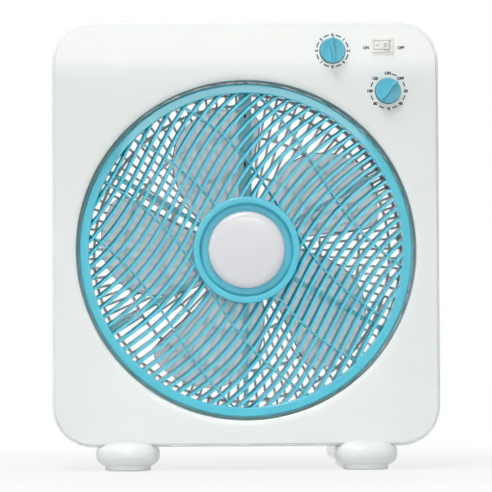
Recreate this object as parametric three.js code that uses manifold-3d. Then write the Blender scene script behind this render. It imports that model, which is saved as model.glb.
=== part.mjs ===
// Box fan with a slowly turning louvre wheel in front of its blades.
// Millimetres, +Z up, front towards -Y, origin on the floor under the middle of the fan.

import * as THREE from 'three';
import { mergeVertices } from 'three/addons/utils/BufferGeometryUtils.js';
import Module from 'manifold-3d';

const wasm = await Module();
wasm.setup();

// Clearances
const seatGap = 0.3;
const slideGap = 0.5;
const overrun = 1;

// Housing
const housingWidth = 388;
const housingHeight = 426.4;
const housingDepth = 125;
const frontY = -65;
const cornerRadius = 40.5;
const undersideZ = 23.5;
const wall = 2.4;
const rimStep = 2.6;
const panelDepth = 8;
const panelEdge = 1.8;
const panelTongue = 9;
const rearTaper = 3;
const rearEdge = 12;

// Round opening and the duct behind it
const stripAside = 23.7;
const stripAbove = 59.6;
const stripBelow = 26.2;
const ductWall = 2;
const ductLength = 72;
const seatDepth = 3;
const seatHeight = 4;
const seatWidth = 10;

// Louvre wheel
const wheelGap = 3.6;
const wheelRecess = 8;
const ringWidth = 9;
const ringDepth = 14;
const ringEdge = 1.2;
const wheelDome = 5;
const hubRadius = 53.3;
const hubRim = 6.3;
const hubRise = 10;
const hubRecess = 8;
const hubFloor = 2.5;
const hubBack = 2.4;
const bossRadius = 9;
const bossFront = 3;
const bossLength = 12;
const louvrePitch = 9.73;
const louvreShift = -0.7;
const louvreThickness = 2.2;
const louvreDepth = 12;
const louvreLean = 2.7;
const louvreWave = 15;
const louvreWaveLength = 355;
const louvreTurn = THREE.MathUtils.degToRad(48);
const ribPitch = 53.75;
const ribWave = 17;
const ribWaveLength = 380;
const ribThickness = 1.4;
const webSkin = 0.4;
const sliverShare = 0.03;

// Hub cap, nut and shaft of the wheel
const capRadius = 38.5;
const capRise = 6;
const capWall = 2;
const capCrown = 5.5;
const capArcShares = [0, 0.45, 0.8, 0.96, 1];
const capFullnessShare = 0.98;
const wheelNutRadius = 6;
const wheelNutHeight = 4;
const syncShaftRadius = 3.4;
const shaftTip = 1.5;

// Small motor of the wheel, its frame and its lead
const syncRadius = 24.5;
const syncLength = 14;
const syncCollarRadius = 8;
const syncCollar = 1;
const earLength = 5;
const earWidth = 8;
const earThickness = 2;
const spiderGap = 5;
const armDepth = 8;
const armWidth = 5;
const armCount = 6;
const leadArmWidth = 13;
const channelWidth = 7.4;
const armSkin = 1.8;
const windowWidth = 4.4;
const windowHeight = 7.2;
const windowShares = [0.505, 0.8103];
const spiderRing = 8;
const spiderHubWall = 2.4;
const spiderHubFloor = 3;
const leadRadius = 1.4;
const leadSag = 18;
const leadDrop = 7.2;

// Blades
const rotorClearance = 23.3;
const rotorHubRadius = 37;
const rotorHubWall = 2.6;
const rotorHubEdge = 3;
const bladeCount = 5;
const bladeThickness = 1.9;
const bladeTwist = 30;
const bladeCamber = 3.5;
const bladeGap = 9;
const bladeRoot = 1.2;
const bladeInset = 2;
const rotorNutRadius = 8;
const rotorNutHeight = 6;
const rotorBossRadius = 8;

// Main motor
const motorRadius = 39;
const motorCapWall = 2.2;
const motorFrontLength = 12;
const motorRearLength = 11;
const motorEdge = 5;
const motorGap = 2;
const stackRadius = 36;
const boreRadius = 20;
const windingRadius = 30;
const windingLength = 5;
const armatureRadius = 19.2;
const shaftRadius = 4;
const shaftFront = 6;
const bearingRadius = 8;
const bearingLength = 7;

// Rear grille
const grilleThickness = 2.4;
const grilleFlange = 7;
const grilleLip = 5.3;
const grilleBar = 2.2;
const grilleRing = 2.6;
const grilleRings = [82];
const grillePlate = 52;

// Hand grip in the back
const gripWidth = 104;
const gripHeight = 30;
const gripDepth = 34;
const gripBelowTop = 14.9;
const gripRadius = 12;

// Dials
const knobRadius = 12.5;
const knobFlange = 13.2;
const knobFlangeHeight = 1.6;
const knobBase = 4.4;
const knobHeight = 12;
const knobTaper = 0.7;
const knobRidge = 4;
const knobRidgeSway = 1.1;
const knobRidgeTipShare = 0.6;
const knobSlope = 1.2;
const dialShaftRadius = 3;
const dialCeiling = 1;
const dialSocket = knobBase - dialCeiling;
const dialBushRadius = 5;
const speedFromSide = 107;
const speedFromTop = 30.5;
const speedBody = 30;
const speedBodyDepth = 20;
const timerFromSide = 51.4;
const timerFromTop = 70.9;
const timerBody = 40;
const timerBodyDepth = 28;

// Rocker switch
const rockerFromSide = 56.7;
const rockerFromTop = 25.1;
const bezelWidth = 22.4;
const bezelHeight = 14.5;
const bezelThickness = 1.6;
const bezelRadius = 1.2;
const rockerBodyWidth = 19.8;
const rockerBodyHeight = 12.6;
const rockerBodyDepth = 17;
const rockerWellWidth = 18;
const rockerWellHeight = 9.6;
const rockerWellDepth = 13;
const rockerHalf = 7.8;
const rockerHalfHeight = 4.1;
const rockerRise = 1.5;
const rockerPivot = 4;
const rockerSink = 6;
const rockerFoot = 3.6;
const rockerTilt = THREE.MathUtils.degToRad(11);
const trunnionRadius = 1.2;
const trunnionLength = 0.9;
const terminalWidth = 4.8;
const terminalThickness = 0.8;
const terminalLength = 7;

// Capacitor and cord gland
const capacitorWidth = 38;
const capacitorHeight = 27;
const capacitorDepth = 15;
const capacitorRadius = 2;
const capacitorFromSide = 43.5;
const capacitorFromTop = 42.9;
const glandFromSide = 47.5;
const glandFromBottom = 28.5;
const glandNeck = 7;
const glandFlange = 9.5;
const glandFlangeThickness = 3;
const glandTail = 9;
const glandTailRadius = 5.4;
const glandBore = 3.4;
const glandLip = 0.9;

// Feet
const footFromSide = 75;
const footLength = 160;
const footWidth = 64;
const footHeight = 30;
const footTopZ = 31.5;
const plinthWidth = 46;
const plinthLength = 142;
const plinthRadius = 20;
const footBluntness = 4.6;
const footSquareness = 2.5;
const footTipShare = 0.35;

// Counts of steps
const bigSteps = 36;
const hubSteps = 18;
const smallSteps = 12;
const tinySteps = 8;
const cornerSteps = 3;
const gripSteps = 2;
const edgeSteps = 2;
const footRings = 7;
const footSides = 12;
const bladeColumns = 4;
const ridgeSteps = 6;
const leadSteps = 16;
const nutSides = 6;
const crossingTurns = 12;
const grilleCounts = [45, 90];

// Places that follow from the sizes
const halfWidth = housingWidth / 2;
const rearY = frontY + housingDepth;
const topZ = undersideZ + housingHeight;
const middleZ = undersideZ + housingHeight / 2;
const openingAcross = housingWidth - stripAside * 2;
const openingUp = housingHeight - stripAbove - stripBelow;
const openingRadius = Math.min(openingAcross, openingUp) / 2;
const axisZ = undersideZ + stripBelow + openingRadius;
const rimY = frontY + panelDepth;
const panelBackY = frontY + wall;
const ductRearY = frontY + ductLength;
const ductOuter = openingRadius + ductWall;
const wheelRadius = openingRadius - wheelGap;
const ringInner = wheelRadius - ringWidth;
const ringFrontY = frontY + wheelRecess;
const ringRearY = ringFrontY + ringDepth;
const hubFrontY = ringFrontY - hubRise;
const hubFloorY = hubFrontY + hubRecess;
const hubInner = hubRadius - hubRim;
const webFrontY = ringFrontY + ringEdge;
const webRearY = webFrontY + louvreDepth;
const hubRearY = webRearY - wheelDome;
const bossFrontY = hubFloorY - bossFront;
const bossRearY = bossFrontY + bossLength;
const wheelNutY = bossFrontY - seatGap - wheelNutHeight;
const spiderFrontY = ringRearY + spiderGap;
const spiderRearY = spiderFrontY + armDepth;
const spiderOuter = openingRadius - seatGap;
const spiderInner = spiderOuter - spiderRing;
const syncRearY = spiderRearY - spiderHubFloor - seatGap;
const syncFrontY = syncRearY - syncLength;
const spiderHubInner = syncRadius + seatGap;
const spiderHubOuter = spiderHubInner + spiderHubWall;
const channelY = spiderFrontY + armSkin;
const leadY = channelY + seatGap + leadRadius;
const windowRadii = windowShares.map((share) => share * openingRadius);
const rotorRadius = openingRadius - rotorClearance;
const bladeFrontY = spiderRearY + bladeGap;
const rotorRearY = bladeFrontY + bladeTwist;
const motorFrontY = rotorRearY + motorGap;
const grilleFrontY = rearY - wall - seatGap - grilleThickness;
const motorRearY = grilleFrontY - seatGap;
const stackFrontY = motorFrontY + motorFrontLength + seatGap;
const stackRearY = motorRearY - motorRearLength - seatGap;
const shaftFrontY = bladeFrontY - shaftFront;
const grilleOpening = openingRadius - grilleLip;
const grilleOuter = grilleOpening + grilleFlange;
const bezelFrontY = frontY - seatGap - bezelThickness;
const rockerRearY = bezelFrontY + rockerBodyDepth;
const speedPlace = { x: halfWidth - speedFromSide, z: topZ - speedFromTop };
const timerPlace = { x: halfWidth - timerFromSide, z: topZ - timerFromTop };
const rockerPlace = { x: halfWidth - rockerFromSide, z: topZ - rockerFromTop };
const glandPlace = { x: halfWidth - glandFromSide, z: undersideZ + glandFromBottom };

// Solids

// A closed mesh with its vertices merged and its faces turned outwards
function solid(geometry) {
  geometry.deleteAttribute('normal');
  geometry.deleteAttribute('uv');
  const merged = mergeVertices(geometry);
  const place = merged.attributes.position;
  const corner = (i) => new THREE.Vector3().fromBufferAttribute(place, i);
  const kept = [];
  let volume = 0;
  for (let i = 0; i < merged.index.count; i += 3) {
    const [a, b, c] = [0, 1, 2].map((step) => merged.index.getX(i + step));
    if (a !== b && b !== c && c !== a) {
      kept.push(a, b, c);
      volume += corner(a).dot(corner(b).cross(corner(c)));
    }
  }
  if (volume < 0) {
    kept.reverse();
  }
  const vertProperties = new Float32Array(place.array);
  const triVerts = new Uint32Array(kept);
  return new wasm.Manifold(new wasm.Mesh({ numProp: 3, vertProperties, triVerts }));
}

function join(...solids) {
  return solids.reduce((sum, next) => sum.add(next));
}

function cut(body, ...tools) {
  return tools.reduce((left, tool) => left.subtract(tool), body);
}

function geometryOf(body) {
  const mesh = body.getMesh();
  const geometry = new THREE.BufferGeometry();
  geometry.setAttribute('position', new THREE.BufferAttribute(mesh.vertProperties, 3));
  geometry.setIndex(new THREE.BufferAttribute(mesh.triVerts, 1));
  const flat = geometry.toNonIndexed();
  flat.computeVertexNormals();
  return flat;
}

// A profile of [radius, y] pairs turned round the Y axis
function turned(profile, steps) {
  const points = profile.map(([radius, y]) => new THREE.Vector2(radius, y));
  return solid(new THREE.LatheGeometry(points, steps));
}

// A closed tube wall between two radii and two depths
function band(inner, outer, y0, y1, steps) {
  return turned([[inner, y0], [outer, y0], [outer, y1], [inner, y1], [inner, y0]], steps);
}

function disc(radius, y0, y1, steps) {
  return turned([[0, y0], [radius, y0], [radius, y1], [0, y1]], steps);
}

// A shape drawn as seen from the front, in X and Z, reaching from one depth to another
function plate(shape, y0, y1, curveSegments = cornerSteps) {
  const depth = y1 - y0;
  const geometry = new THREE.ExtrudeGeometry(shape, { depth, bevelEnabled: false, curveSegments });
  geometry.rotateX(Math.PI / 2);
  geometry.translate(0, y1, 0);
  return solid(geometry);
}

function block(width, depth, height, x, y, z) {
  const geometry = new THREE.BoxGeometry(width, depth, height);
  geometry.translate(x, y, z);
  return solid(geometry);
}

function roundedRectangle(width, height, radius, x = 0, z = 0) {
  const shape = new THREE.Shape();
  const right = x + width / 2 - radius;
  const left = x - width / 2 + radius;
  const top = z + height / 2 - radius;
  const bottom = z - height / 2 + radius;
  shape.absarc(right, top, radius, 0, Math.PI / 2);
  shape.absarc(left, top, radius, Math.PI / 2, Math.PI);
  shape.absarc(left, bottom, radius, Math.PI, Math.PI * 1.5);
  shape.absarc(right, bottom, radius, Math.PI * 1.5, Math.PI * 2);
  return shape;
}

// A skin through rings of points, closed by a flat face at each end
function loft(rings) {
  const count = rings[0].length;
  const last = (rings.length - 1) * count;
  const index = [];
  for (let start = 0; start < last; start += count) {
    for (let i = 0; i < count; i += 1) {
      const a = start + i;
      const b = start + (i + 1) % count;
      index.push(a, b, a + count, b, b + count, a + count);
    }
  }
  for (let i = 1; i + 1 < count; i += 1) {
    index.push(0, i + 1, i, last, last + i, last + i + 1);
  }
  const geometry = new THREE.BufferGeometry().setFromPoints(rings.flat());
  geometry.setIndex(index);
  return solid(geometry);
}

// One rounded rectangle of the housing, drawn in by an inset, at a depth
function housingRing(inset, y) {
  const [width, height] = [housingWidth, housingHeight].map((length) => length - inset * 2);
  const shape = roundedRectangle(width, height, cornerRadius - inset);
  const outline = shape.getPoints(cornerSteps).slice(0, -1);
  return outline.map((point) => new THREE.Vector3(point.x, y, middleZ + point.y));
}

// Rings that round an edge off, from its side to its end face
function roundedEnd(inset, radius, y, direction) {
  const rings = [];
  for (let step = 0; step <= edgeSteps; step += 1) {
    const angle = (step / edgeSteps) * Math.PI / 2;
    const drawnIn = inset + radius * (1 - Math.cos(angle));
    rings.push(housingRing(drawnIn, y + direction * radius * Math.sin(angle)));
  }
  return rings;
}

// Housing pieces

function openingTool(radius, y0, y1) {
  return disc(radius, y0, y1, bigSteps).translate([0, 0, axisZ]);
}

function frontPanel() {
  const front = roundedEnd(rimStep, panelEdge, frontY + panelEdge, -1).reverse();
  const outer = loft([...front, housingRing(rimStep, rimY - seatGap)]);
  const tongueInset = wall + seatGap;
  const tongueY = rimY + panelTongue;
  const tongue = loft([housingRing(tongueInset, panelBackY), housingRing(tongueInset, tongueY)]);
  const hollowInset = tongueInset + wall;
  const hollowY = tongueY + overrun;
  const hollow = loft([housingRing(hollowInset, panelBackY), housingRing(hollowInset, hollowY)]);
  const duct = disc(ductOuter, panelBackY - overrun, ductRearY, bigSteps).translate([0, 0, axisZ]);
  const shell = cut(join(outer, tongue), hollow);
  const bore = openingTool(openingRadius, frontY - overrun, ductRearY + overrun);
  const bored = cut(join(shell, duct), bore);
  const seats = armTurns().map((turn) => {
    const radius = openingRadius + (ductWall - seatHeight) / 2;
    const seatY = spiderRearY + seatGap + seatDepth / 2;
    const seat = block(seatHeight, seatDepth, seatWidth, radius, seatY, 0);
    return seat.rotate([0, -THREE.MathUtils.radToDeg(turn), 0]).translate([0, 0, axisZ]);
  });
  const holes = [speedPlace, timerPlace].map((place) => {
    const hole = disc(dialBushRadius + seatGap, frontY - overrun, panelBackY + overrun, smallSteps);
    return hole.translate([place.x, 0, place.z]);
  });
  const slot = block(
    rockerBodyWidth + seatGap * 2, panelDepth, rockerBodyHeight + seatGap * 2,
    rockerPlace.x, frontY, rockerPlace.z,
  );
  const leadHole = disc(leadRadius + slideGap, 0, ductWall + overrun * 2, smallSteps)
    .rotate([90, 0, 0])
    .translate([0, leadY, axisZ + openingRadius - overrun]);
  return cut(join(bored, ...seats), ...holes, slot, leadHole);
}

function shellRings(thickness) {
  const back = roundedEnd(rearTaper + thickness, rearEdge - thickness, rearY - rearEdge, 1);
  return [housingRing(thickness, rimY - (thickness ? overrun : 0)), ...back];
}

function gripBox(grow, y0, y1) {
  const middle = topZ - gripBelowTop - gripHeight / 2;
  const size = [gripWidth, gripHeight].map((length) => length + grow * 2);
  return plate(roundedRectangle(...size, gripRadius + grow, 0, middle), y0, y1, gripSteps);
}

function rearShell() {
  const outer = loft(shellRings(0));
  const hollow = loft(shellRings(wall));
  const pocket = gripBox(wall, rearY - gripDepth - wall, rearY);
  const glandHole = disc(glandNeck + seatGap, rearY - rearEdge, rearY + overrun, smallSteps);
  return cut(
    join(cut(outer, hollow), pocket),
    openingTool(grilleOpening, rearY - rearEdge, rearY + overrun),
    gripBox(0, rearY - gripDepth, rearY + overrun),
    glandHole.translate([glandPlace.x, 0, glandPlace.z]),
  );
}

function arcPoint(radius, angle) {
  return new THREE.Vector2(radius * Math.cos(angle), radius * Math.sin(angle));
}

// One gap of the grille: its bars are as wide at both rings
function grilleGap(inner, outer, count, number) {
  const pitch = (Math.PI * 2) / count;
  const middle = pitch * (number + 0.5);
  const innerHalf = pitch / 2 - grilleBar / 2 / inner;
  const outerHalf = pitch / 2 - grilleBar / 2 / outer;
  const gap = new THREE.Path();
  gap.setFromPoints([
    arcPoint(inner, middle - innerHalf),
    arcPoint(inner, middle + innerHalf),
    arcPoint(outer, middle + outerHalf),
    arcPoint(outer, middle - outerHalf),
  ]);
  return gap;
}

function rearGrille() {
  const disc2d = new THREE.Shape();
  disc2d.absarc(0, 0, grilleOuter, 0, Math.PI * 2);
  const half = grilleRing / 2;
  const inners = [grillePlate, ...grilleRings.map((radius) => radius + half)];
  const outers = [...grilleRings.map((radius) => radius - half), grilleOpening];
  grilleCounts.forEach((count, row) => {
    for (let number = 0; number < count; number += 1) {
      disc2d.holes.push(grilleGap(inners[row], outers[row], count, number));
    }
  });
  return plate(disc2d, grilleFrontY, grilleFrontY + grilleThickness, bigSteps / 4);
}

// Louvre wheel

const alongLouvres = new THREE.Vector2(Math.cos(louvreTurn), Math.sin(louvreTurn));
const acrossLouvres = new THREE.Vector2(Math.sin(louvreTurn), -Math.cos(louvreTurn));

function wheelPoint(u, v) {
  return alongLouvres.clone().multiplyScalar(u).addScaledVector(acrossLouvres, v);
}

function louvreV(offset, u) {
  return offset - louvreWave * Math.sin((Math.PI * 2 * u) / louvreWaveLength);
}

function ribU(offset, v) {
  return offset - ribWave * Math.sin((Math.PI * 2 * v) / ribWaveLength);
}

// How far along a louvre's edge it meets a rib's edge, by repeated substitution
function crossingU(louvreOffset, ribOffset) {
  let u = ribOffset;
  for (let turn = 0; turn < crossingTurns; turn += 1) {
    u = ribU(ribOffset, louvreV(louvreOffset, u));
  }
  return u;
}

// The gap between two louvres and two ribs, with one point between the ribs
function cellRing(louvreOffset, ribOffset, y) {
  const left = ribOffset + ribThickness / 2;
  const right = ribOffset + ribPitch - ribThickness / 2;
  const edge = (offset) => {
    const from = crossingU(offset, left);
    const to = crossingU(offset, right);
    return [from, (from + to) / 2, to].map((u) => wheelPoint(u, louvreV(offset, u)));
  };
  const low = edge(louvreOffset + louvreThickness / 2);
  const high = edge(louvreOffset + louvrePitch - louvreThickness / 2);
  return [...low, ...high.reverse()].map((point) => new THREE.Vector3(point.x, y, point.y));
}

// A cutter whose rear end is shifted, so that the louvres lean as they go back
function cellTool(louvreOffset, ribOffset) {
  const front = cellRing(louvreOffset, ribOffset, webFrontY);
  const back = cellRing(louvreOffset - louvreLean, ribOffset, webRearY);
  return loft([front, back]);
}

// The cells between the hub and the ring, apart from slivers too small to mould
function cells() {
  const outside = disc(ringInner - webSkin, webFrontY - overrun, webRearY + overrun, bigSteps);
  const inside = disc(hubRadius + webSkin, webFrontY - overrun * 2, webRearY + overrun * 2, hubSteps);
  const open = cut(outside, inside);
  const louvreMost = Math.ceil(wheelRadius / louvrePitch);
  const ribMost = Math.floor(ringInner / ribPitch);
  const least = louvrePitch * ribPitch * louvreDepth * sliverShare;
  const tools = [];
  for (let row = -louvreMost; row < louvreMost; row += 1) {
    for (let column = -ribMost - 1; column <= ribMost; column += 1) {
      tools.push(cellTool(louvreShift + row * louvrePitch, column * ribPitch).intersect(open));
    }
  }
  return join(...tools.filter((tool) => tool.volume() > least));
}

// The wheel swells forwards from its ring to its hub
function domed(body) {
  const geometry = geometryOf(body);
  const place = geometry.attributes.position;
  for (let i = 0; i < place.count; i += 1) {
    const radius = Math.hypot(place.getX(i), place.getZ(i));
    const share = THREE.MathUtils.clamp((radius - hubRadius) / (ringInner - hubRadius), 0, 1);
    place.setY(i, place.getY(i) - wheelDome * (1 - share ** 2));
  }
  return solid(geometry);
}

function louvreWheel() {
  const ring = turned([
    [ringInner, ringRearY], [ringInner, webFrontY], [ringInner + ringEdge, ringFrontY],
    [wheelRadius - ringEdge, ringFrontY], [wheelRadius, webFrontY], [wheelRadius, ringRearY],
    [ringInner, ringRearY],
  ], bigSteps);
  const hub = turned([
    [0, hubFloorY], [hubInner, hubFloorY],
    [hubInner, hubFrontY + ringEdge], [hubInner + ringEdge, hubFrontY],
    [hubRadius - ringEdge, hubFrontY], [hubRadius, hubFrontY + ringEdge],
    [hubRadius, hubRearY], [hubRadius - hubBack, hubRearY],
    [hubRadius - hubBack, hubFloorY + hubFloor], [0, hubFloorY + hubFloor],
  ], hubSteps);
  const boss = disc(bossRadius, bossFrontY, bossRearY, smallSteps);
  const bore = disc(syncShaftRadius + seatGap, bossFrontY - overrun, bossRearY + overrun, smallSteps);
  const centre = cut(join(hub, boss), bore).translate([0, wheelDome, 0]);
  const plateRadius = ringInner + ringWidth / 2;
  const web = band(hubRadius - hubBack / 2, plateRadius, webFrontY, webRearY, bigSteps);
  return domed(join(cut(web, cells()), ring, centre));
}

function hubCap() {
  const frontCapY = hubFrontY - capRise;
  const rearCapY = hubFloorY - seatGap;
  const dome = capArcShares.map((share) => {
    const drop = 1 - Math.sqrt(1 - share ** 2 * capFullnessShare);
    return [capRadius * share, frontCapY + capCrown * drop];
  });
  const innerDome = dome.filter((_, i) => i % 2 === 0).map(([radius, y]) => (
    [Math.min(radius, capRadius - capWall), y + capWall]
  ));
  return turned([
    ...dome, [capRadius, rearCapY], [capRadius - capWall, rearCapY], ...innerDome.reverse(),
  ], hubSteps);
}

function hexNut(radius, bore, y0, y1) {
  const nut = disc(radius, y0, y1, nutSides);
  return cut(nut, disc(bore, y0 - overrun, y1 + overrun, tinySteps));
}

function syncShaft() {
  return disc(syncShaftRadius, wheelNutY - shaftTip, syncFrontY - syncCollar - seatGap, smallSteps);
}

// Frame and small motor behind the wheel

function armTurns() {
  const pitch = (Math.PI * 2) / armCount;
  return Array.from({ length: armCount }, (_, number) => Math.PI / 2 + number * pitch);
}

function syncMotor() {
  const can = disc(syncRadius, syncFrontY, syncRearY, hubSteps);
  const collar = disc(syncCollarRadius, syncFrontY - syncCollar, syncFrontY + overrun, smallSteps);
  const earSpan = (spiderHubOuter + earLength) * 2;
  const earY = spiderFrontY - seatGap - earThickness / 2;
  return join(can, collar, block(earSpan, earThickness, earWidth, 0, earY, 0));
}

function arm(width, turn) {
  const from = spiderHubInner / 2;
  const to = spiderInner + spiderRing / 2;
  const geometry = new THREE.BoxGeometry(to - from, armDepth, width);
  geometry.translate((from + to) / 2, spiderFrontY + armDepth / 2, 0);
  geometry.rotateY(-turn);
  return solid(geometry);
}

function spider() {
  const ring = band(spiderInner, spiderOuter, spiderFrontY, spiderRearY, bigSteps);
  const cup = disc(spiderHubOuter, spiderFrontY, spiderRearY, hubSteps);
  const well = disc(spiderHubInner, spiderFrontY - overrun, spiderRearY - spiderHubFloor, hubSteps);
  const arms = armTurns().map((turn, number) => arm(number === 0 ? leadArmWidth : armWidth, turn));
  const channelHeight = openingRadius - spiderHubInner;
  const channel = block(
    channelWidth, armDepth, channelHeight,
    0, channelY + armDepth / 2, spiderHubInner + channelHeight / 2,
  );
  const windows = windowRadii.map((radius) => (
    block(windowWidth, armDepth, windowHeight, 0, spiderFrontY, radius)
  ));
  return cut(join(ring, cut(join(cup, ...arms), well)), channel, ...windows);
}

// The lead runs from the small motor up the hollow arm and across to the rocker switch
function syncLead() {
  const switchY = rockerRearY + terminalLength + leadRadius * 2;
  const rise = ductOuter + leadSag;
  const route = new THREE.CatmullRomCurve3([
    new THREE.Vector3(0, leadY, syncRadius + seatGap * 2),
    new THREE.Vector3(0, leadY, windowRadii[0]),
    new THREE.Vector3(0, leadY, windowRadii[1]),
    new THREE.Vector3(0, leadY, ductOuter),
    new THREE.Vector3(0, leadY, rise - leadSag / 2),
    new THREE.Vector3(leadSag / 2, leadY, rise),
    new THREE.Vector3(rockerPlace.x - leadSag, switchY, rockerPlace.z - axisZ - leadDrop),
    new THREE.Vector3(rockerPlace.x, switchY, rockerPlace.z - axisZ),
  ]);
  const section = new THREE.Shape().absarc(0, 0, leadRadius, 0, Math.PI * 2);
  return solid(new THREE.ExtrudeGeometry(section, {
    steps: leadSteps, extrudePath: route, bevelEnabled: false, curveSegments: cornerSteps,
  }));
}

// Blades

// Rows of the blade's outline: a share of its reach, then its front and rear edge as shares of a turn
const bladeRowShares = [
  [0, 0.215, 0.04], [0.35, 0.193, 0.036], [0.65, 0.168, 0.03], [0.84, 0.142, 0.029],
  [0.94, 0.116, 0.038], [1, 0.09, 0.058],
];

function blade(turn) {
  const root = rotorHubRadius - bladeRoot;
  const skins = [0, bladeThickness].map((offset) => bladeRowShares.map(([reach, front, rear]) => {
    const radius = root + (rotorRadius - root) * reach;
    const twist = bladeTwist - bladeThickness - bladeInset * 2;
    const row = [];
    for (let column = 0; column < bladeColumns; column += 1) {
      const share = column / (bladeColumns - 1);
      const angle = turn + (front + (rear - front) * share) * Math.PI * 2;
      const camber = bladeCamber * 4 * share * (1 - share);
      const y = bladeFrontY + bladeInset + twist * share - camber * share + offset;
      row.push(new THREE.Vector3(radius * Math.cos(angle), y, radius * Math.sin(angle)));
    }
    return row;
  }));
  return loft(skins[0].map((row, i) => [...row, ...skins[1][i].slice().reverse()]));
}

function fanRotor() {
  const cup = turned([
    [0, bladeFrontY], [rotorHubRadius - rotorHubEdge, bladeFrontY],
    [rotorHubRadius, bladeFrontY + rotorHubEdge],
    [rotorHubRadius, rotorRearY], [rotorHubRadius - rotorHubWall, rotorRearY],
    [rotorHubRadius - rotorHubWall, bladeFrontY + rotorHubWall], [0, bladeFrontY + rotorHubWall],
  ], hubSteps);
  const blades = [];
  for (let number = 0; number < bladeCount; number += 1) {
    blades.push(blade((number * Math.PI * 2) / bladeCount));
  }
  const boss = disc(rotorBossRadius, bladeFrontY, rotorRearY - rotorHubEdge, smallSteps);
  const bore = disc(shaftRadius + seatGap, bladeFrontY - overrun, rotorRearY + overrun, smallSteps);
  return cut(join(cup, ...blades, boss), bore);
}

function rotorNut() {
  const nutY = bladeFrontY - seatGap;
  return hexNut(rotorNutRadius, shaftRadius + seatGap, nutY - rotorNutHeight, nutY);
}

// Main motor

function motorShaft() {
  return disc(shaftRadius, shaftFrontY, motorRearY - motorCapWall - slideGap, smallSteps);
}

function motorCap(endY, openY) {
  const inwards = Math.sign(openY - endY);
  const seatRadius = bearingRadius + seatGap;
  const profile = [
    [seatRadius, endY], [motorRadius - motorEdge, endY], [motorRadius, endY + inwards * motorEdge],
    [motorRadius, openY], [motorRadius - motorCapWall, openY],
    [motorRadius - motorCapWall, endY + inwards * motorEdge],
    [motorRadius - motorEdge, endY + inwards * motorCapWall],
    [seatRadius + motorCapWall, endY + inwards * motorCapWall],
    [seatRadius + motorCapWall, endY + inwards * bearingLength],
    [seatRadius, endY + inwards * bearingLength],
  ];
  return turned([...profile, profile[0]], smallSteps);
}

function bearing(endY, inwards) {
  const [y0, y1] = [endY, endY + inwards * bearingLength].sort((a, b) => a - b);
  return band(shaftRadius + seatGap, bearingRadius, y0, y1, smallSteps);
}

function motorStator() {
  return turned([
    [boreRadius, stackFrontY], [boreRadius + overrun, stackFrontY - windingLength],
    [windingRadius, stackFrontY - windingLength], [windingRadius, stackFrontY],
    [stackRadius, stackFrontY], [stackRadius, stackRearY],
    [windingRadius, stackRearY], [windingRadius, stackRearY + windingLength],
    [boreRadius + overrun, stackRearY + windingLength], [boreRadius, stackRearY],
    [boreRadius, stackFrontY],
  ], smallSteps);
}

// Dials

function dialKnob(turn) {
  const baseY = frontY - seatGap;
  const base = turned([
    [0, baseY - knobBase], [knobRadius - knobTaper, baseY - knobBase],
    [knobRadius, baseY - knobFlangeHeight],
    [knobFlange, baseY - knobFlangeHeight], [knobFlange, baseY], [0, baseY],
  ], hubSteps);
  const rings = [0, 1].map((level) => {
    const y = baseY - knobFlangeHeight - level * (knobHeight - knobFlangeHeight);
    return ridgeOutline(level * knobSlope).map((point) => new THREE.Vector3(point.x, y, point.y));
  });
  const ridge = loft(rings).rotate([0, THREE.MathUtils.radToDeg(turn), 0]);
  const socket = disc(dialShaftRadius + seatGap, baseY - dialSocket, baseY + overrun, tinySteps);
  return cut(join(base, ridge), socket);
}

// The S-shaped grip across the knob
function ridgeOutline(drawnIn) {
  const length = (knobRadius - knobTaper) * 2 - drawnIn * 2;
  const side = (sign) => {
    const points = [];
    for (let i = 0; i <= ridgeSteps; i += 1) {
      const share = i / ridgeSteps - 0.5;
      const sway = -knobRidgeSway * Math.sin(share * Math.PI * 2);
      const half = (knobRidge / 2) * (1 - (1 - knobRidgeTipShare) * (share * 2) ** 2) - drawnIn / 2;
      points.push(new THREE.Vector2(sway + sign * half, share * length));
    }
    return points;
  };
  return [...side(1), ...side(-1).reverse()];
}

function dialShaft() {
  return disc(dialShaftRadius, frontY - dialSocket, panelBackY, tinySteps);
}

function dialBody(width, height, depth) {
  const box = block(width, depth, height, 0, panelBackY + seatGap + depth / 2, 0);
  const bush = disc(dialBushRadius, frontY, panelBackY + overrun, smallSteps);
  const bore = disc(dialShaftRadius + seatGap, frontY - overrun, panelBackY + seatGap * 2, tinySteps);
  return cut(join(box, bush), bore);
}

// Rocker switch

function rockerHousing() {
  const bezelShape = roundedRectangle(bezelWidth, bezelHeight, bezelRadius);
  const bezel = plate(bezelShape, bezelFrontY, frontY - seatGap);
  const body = block(
    rockerBodyWidth, rockerBodyDepth - bezelThickness, rockerBodyHeight,
    0, (bezelFrontY + bezelThickness / 2 + rockerRearY) / 2, 0,
  );
  const well = block(
    rockerWellWidth, rockerWellDepth * 2, rockerWellHeight, 0, bezelFrontY, 0,
  );
  const pinHole = trunnions(rockerWellHeight / 2 + trunnionLength, trunnionRadius + seatGap);
  const terminals = [-1, 0, 1].map((side) => block(
    terminalThickness, terminalLength + overrun, terminalWidth,
    side * rockerBodyWidth / 3, rockerRearY + (terminalLength - overrun) / 2, 0,
  ));
  return cut(join(bezel, body, ...terminals), well, pinHole);
}

function trunnions(half, radius) {
  return disc(radius, -half, half, tinySteps)
    .rotate([90, 0, 0])
    .translate([0, bezelFrontY + rockerPivot, 0]);
}

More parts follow.
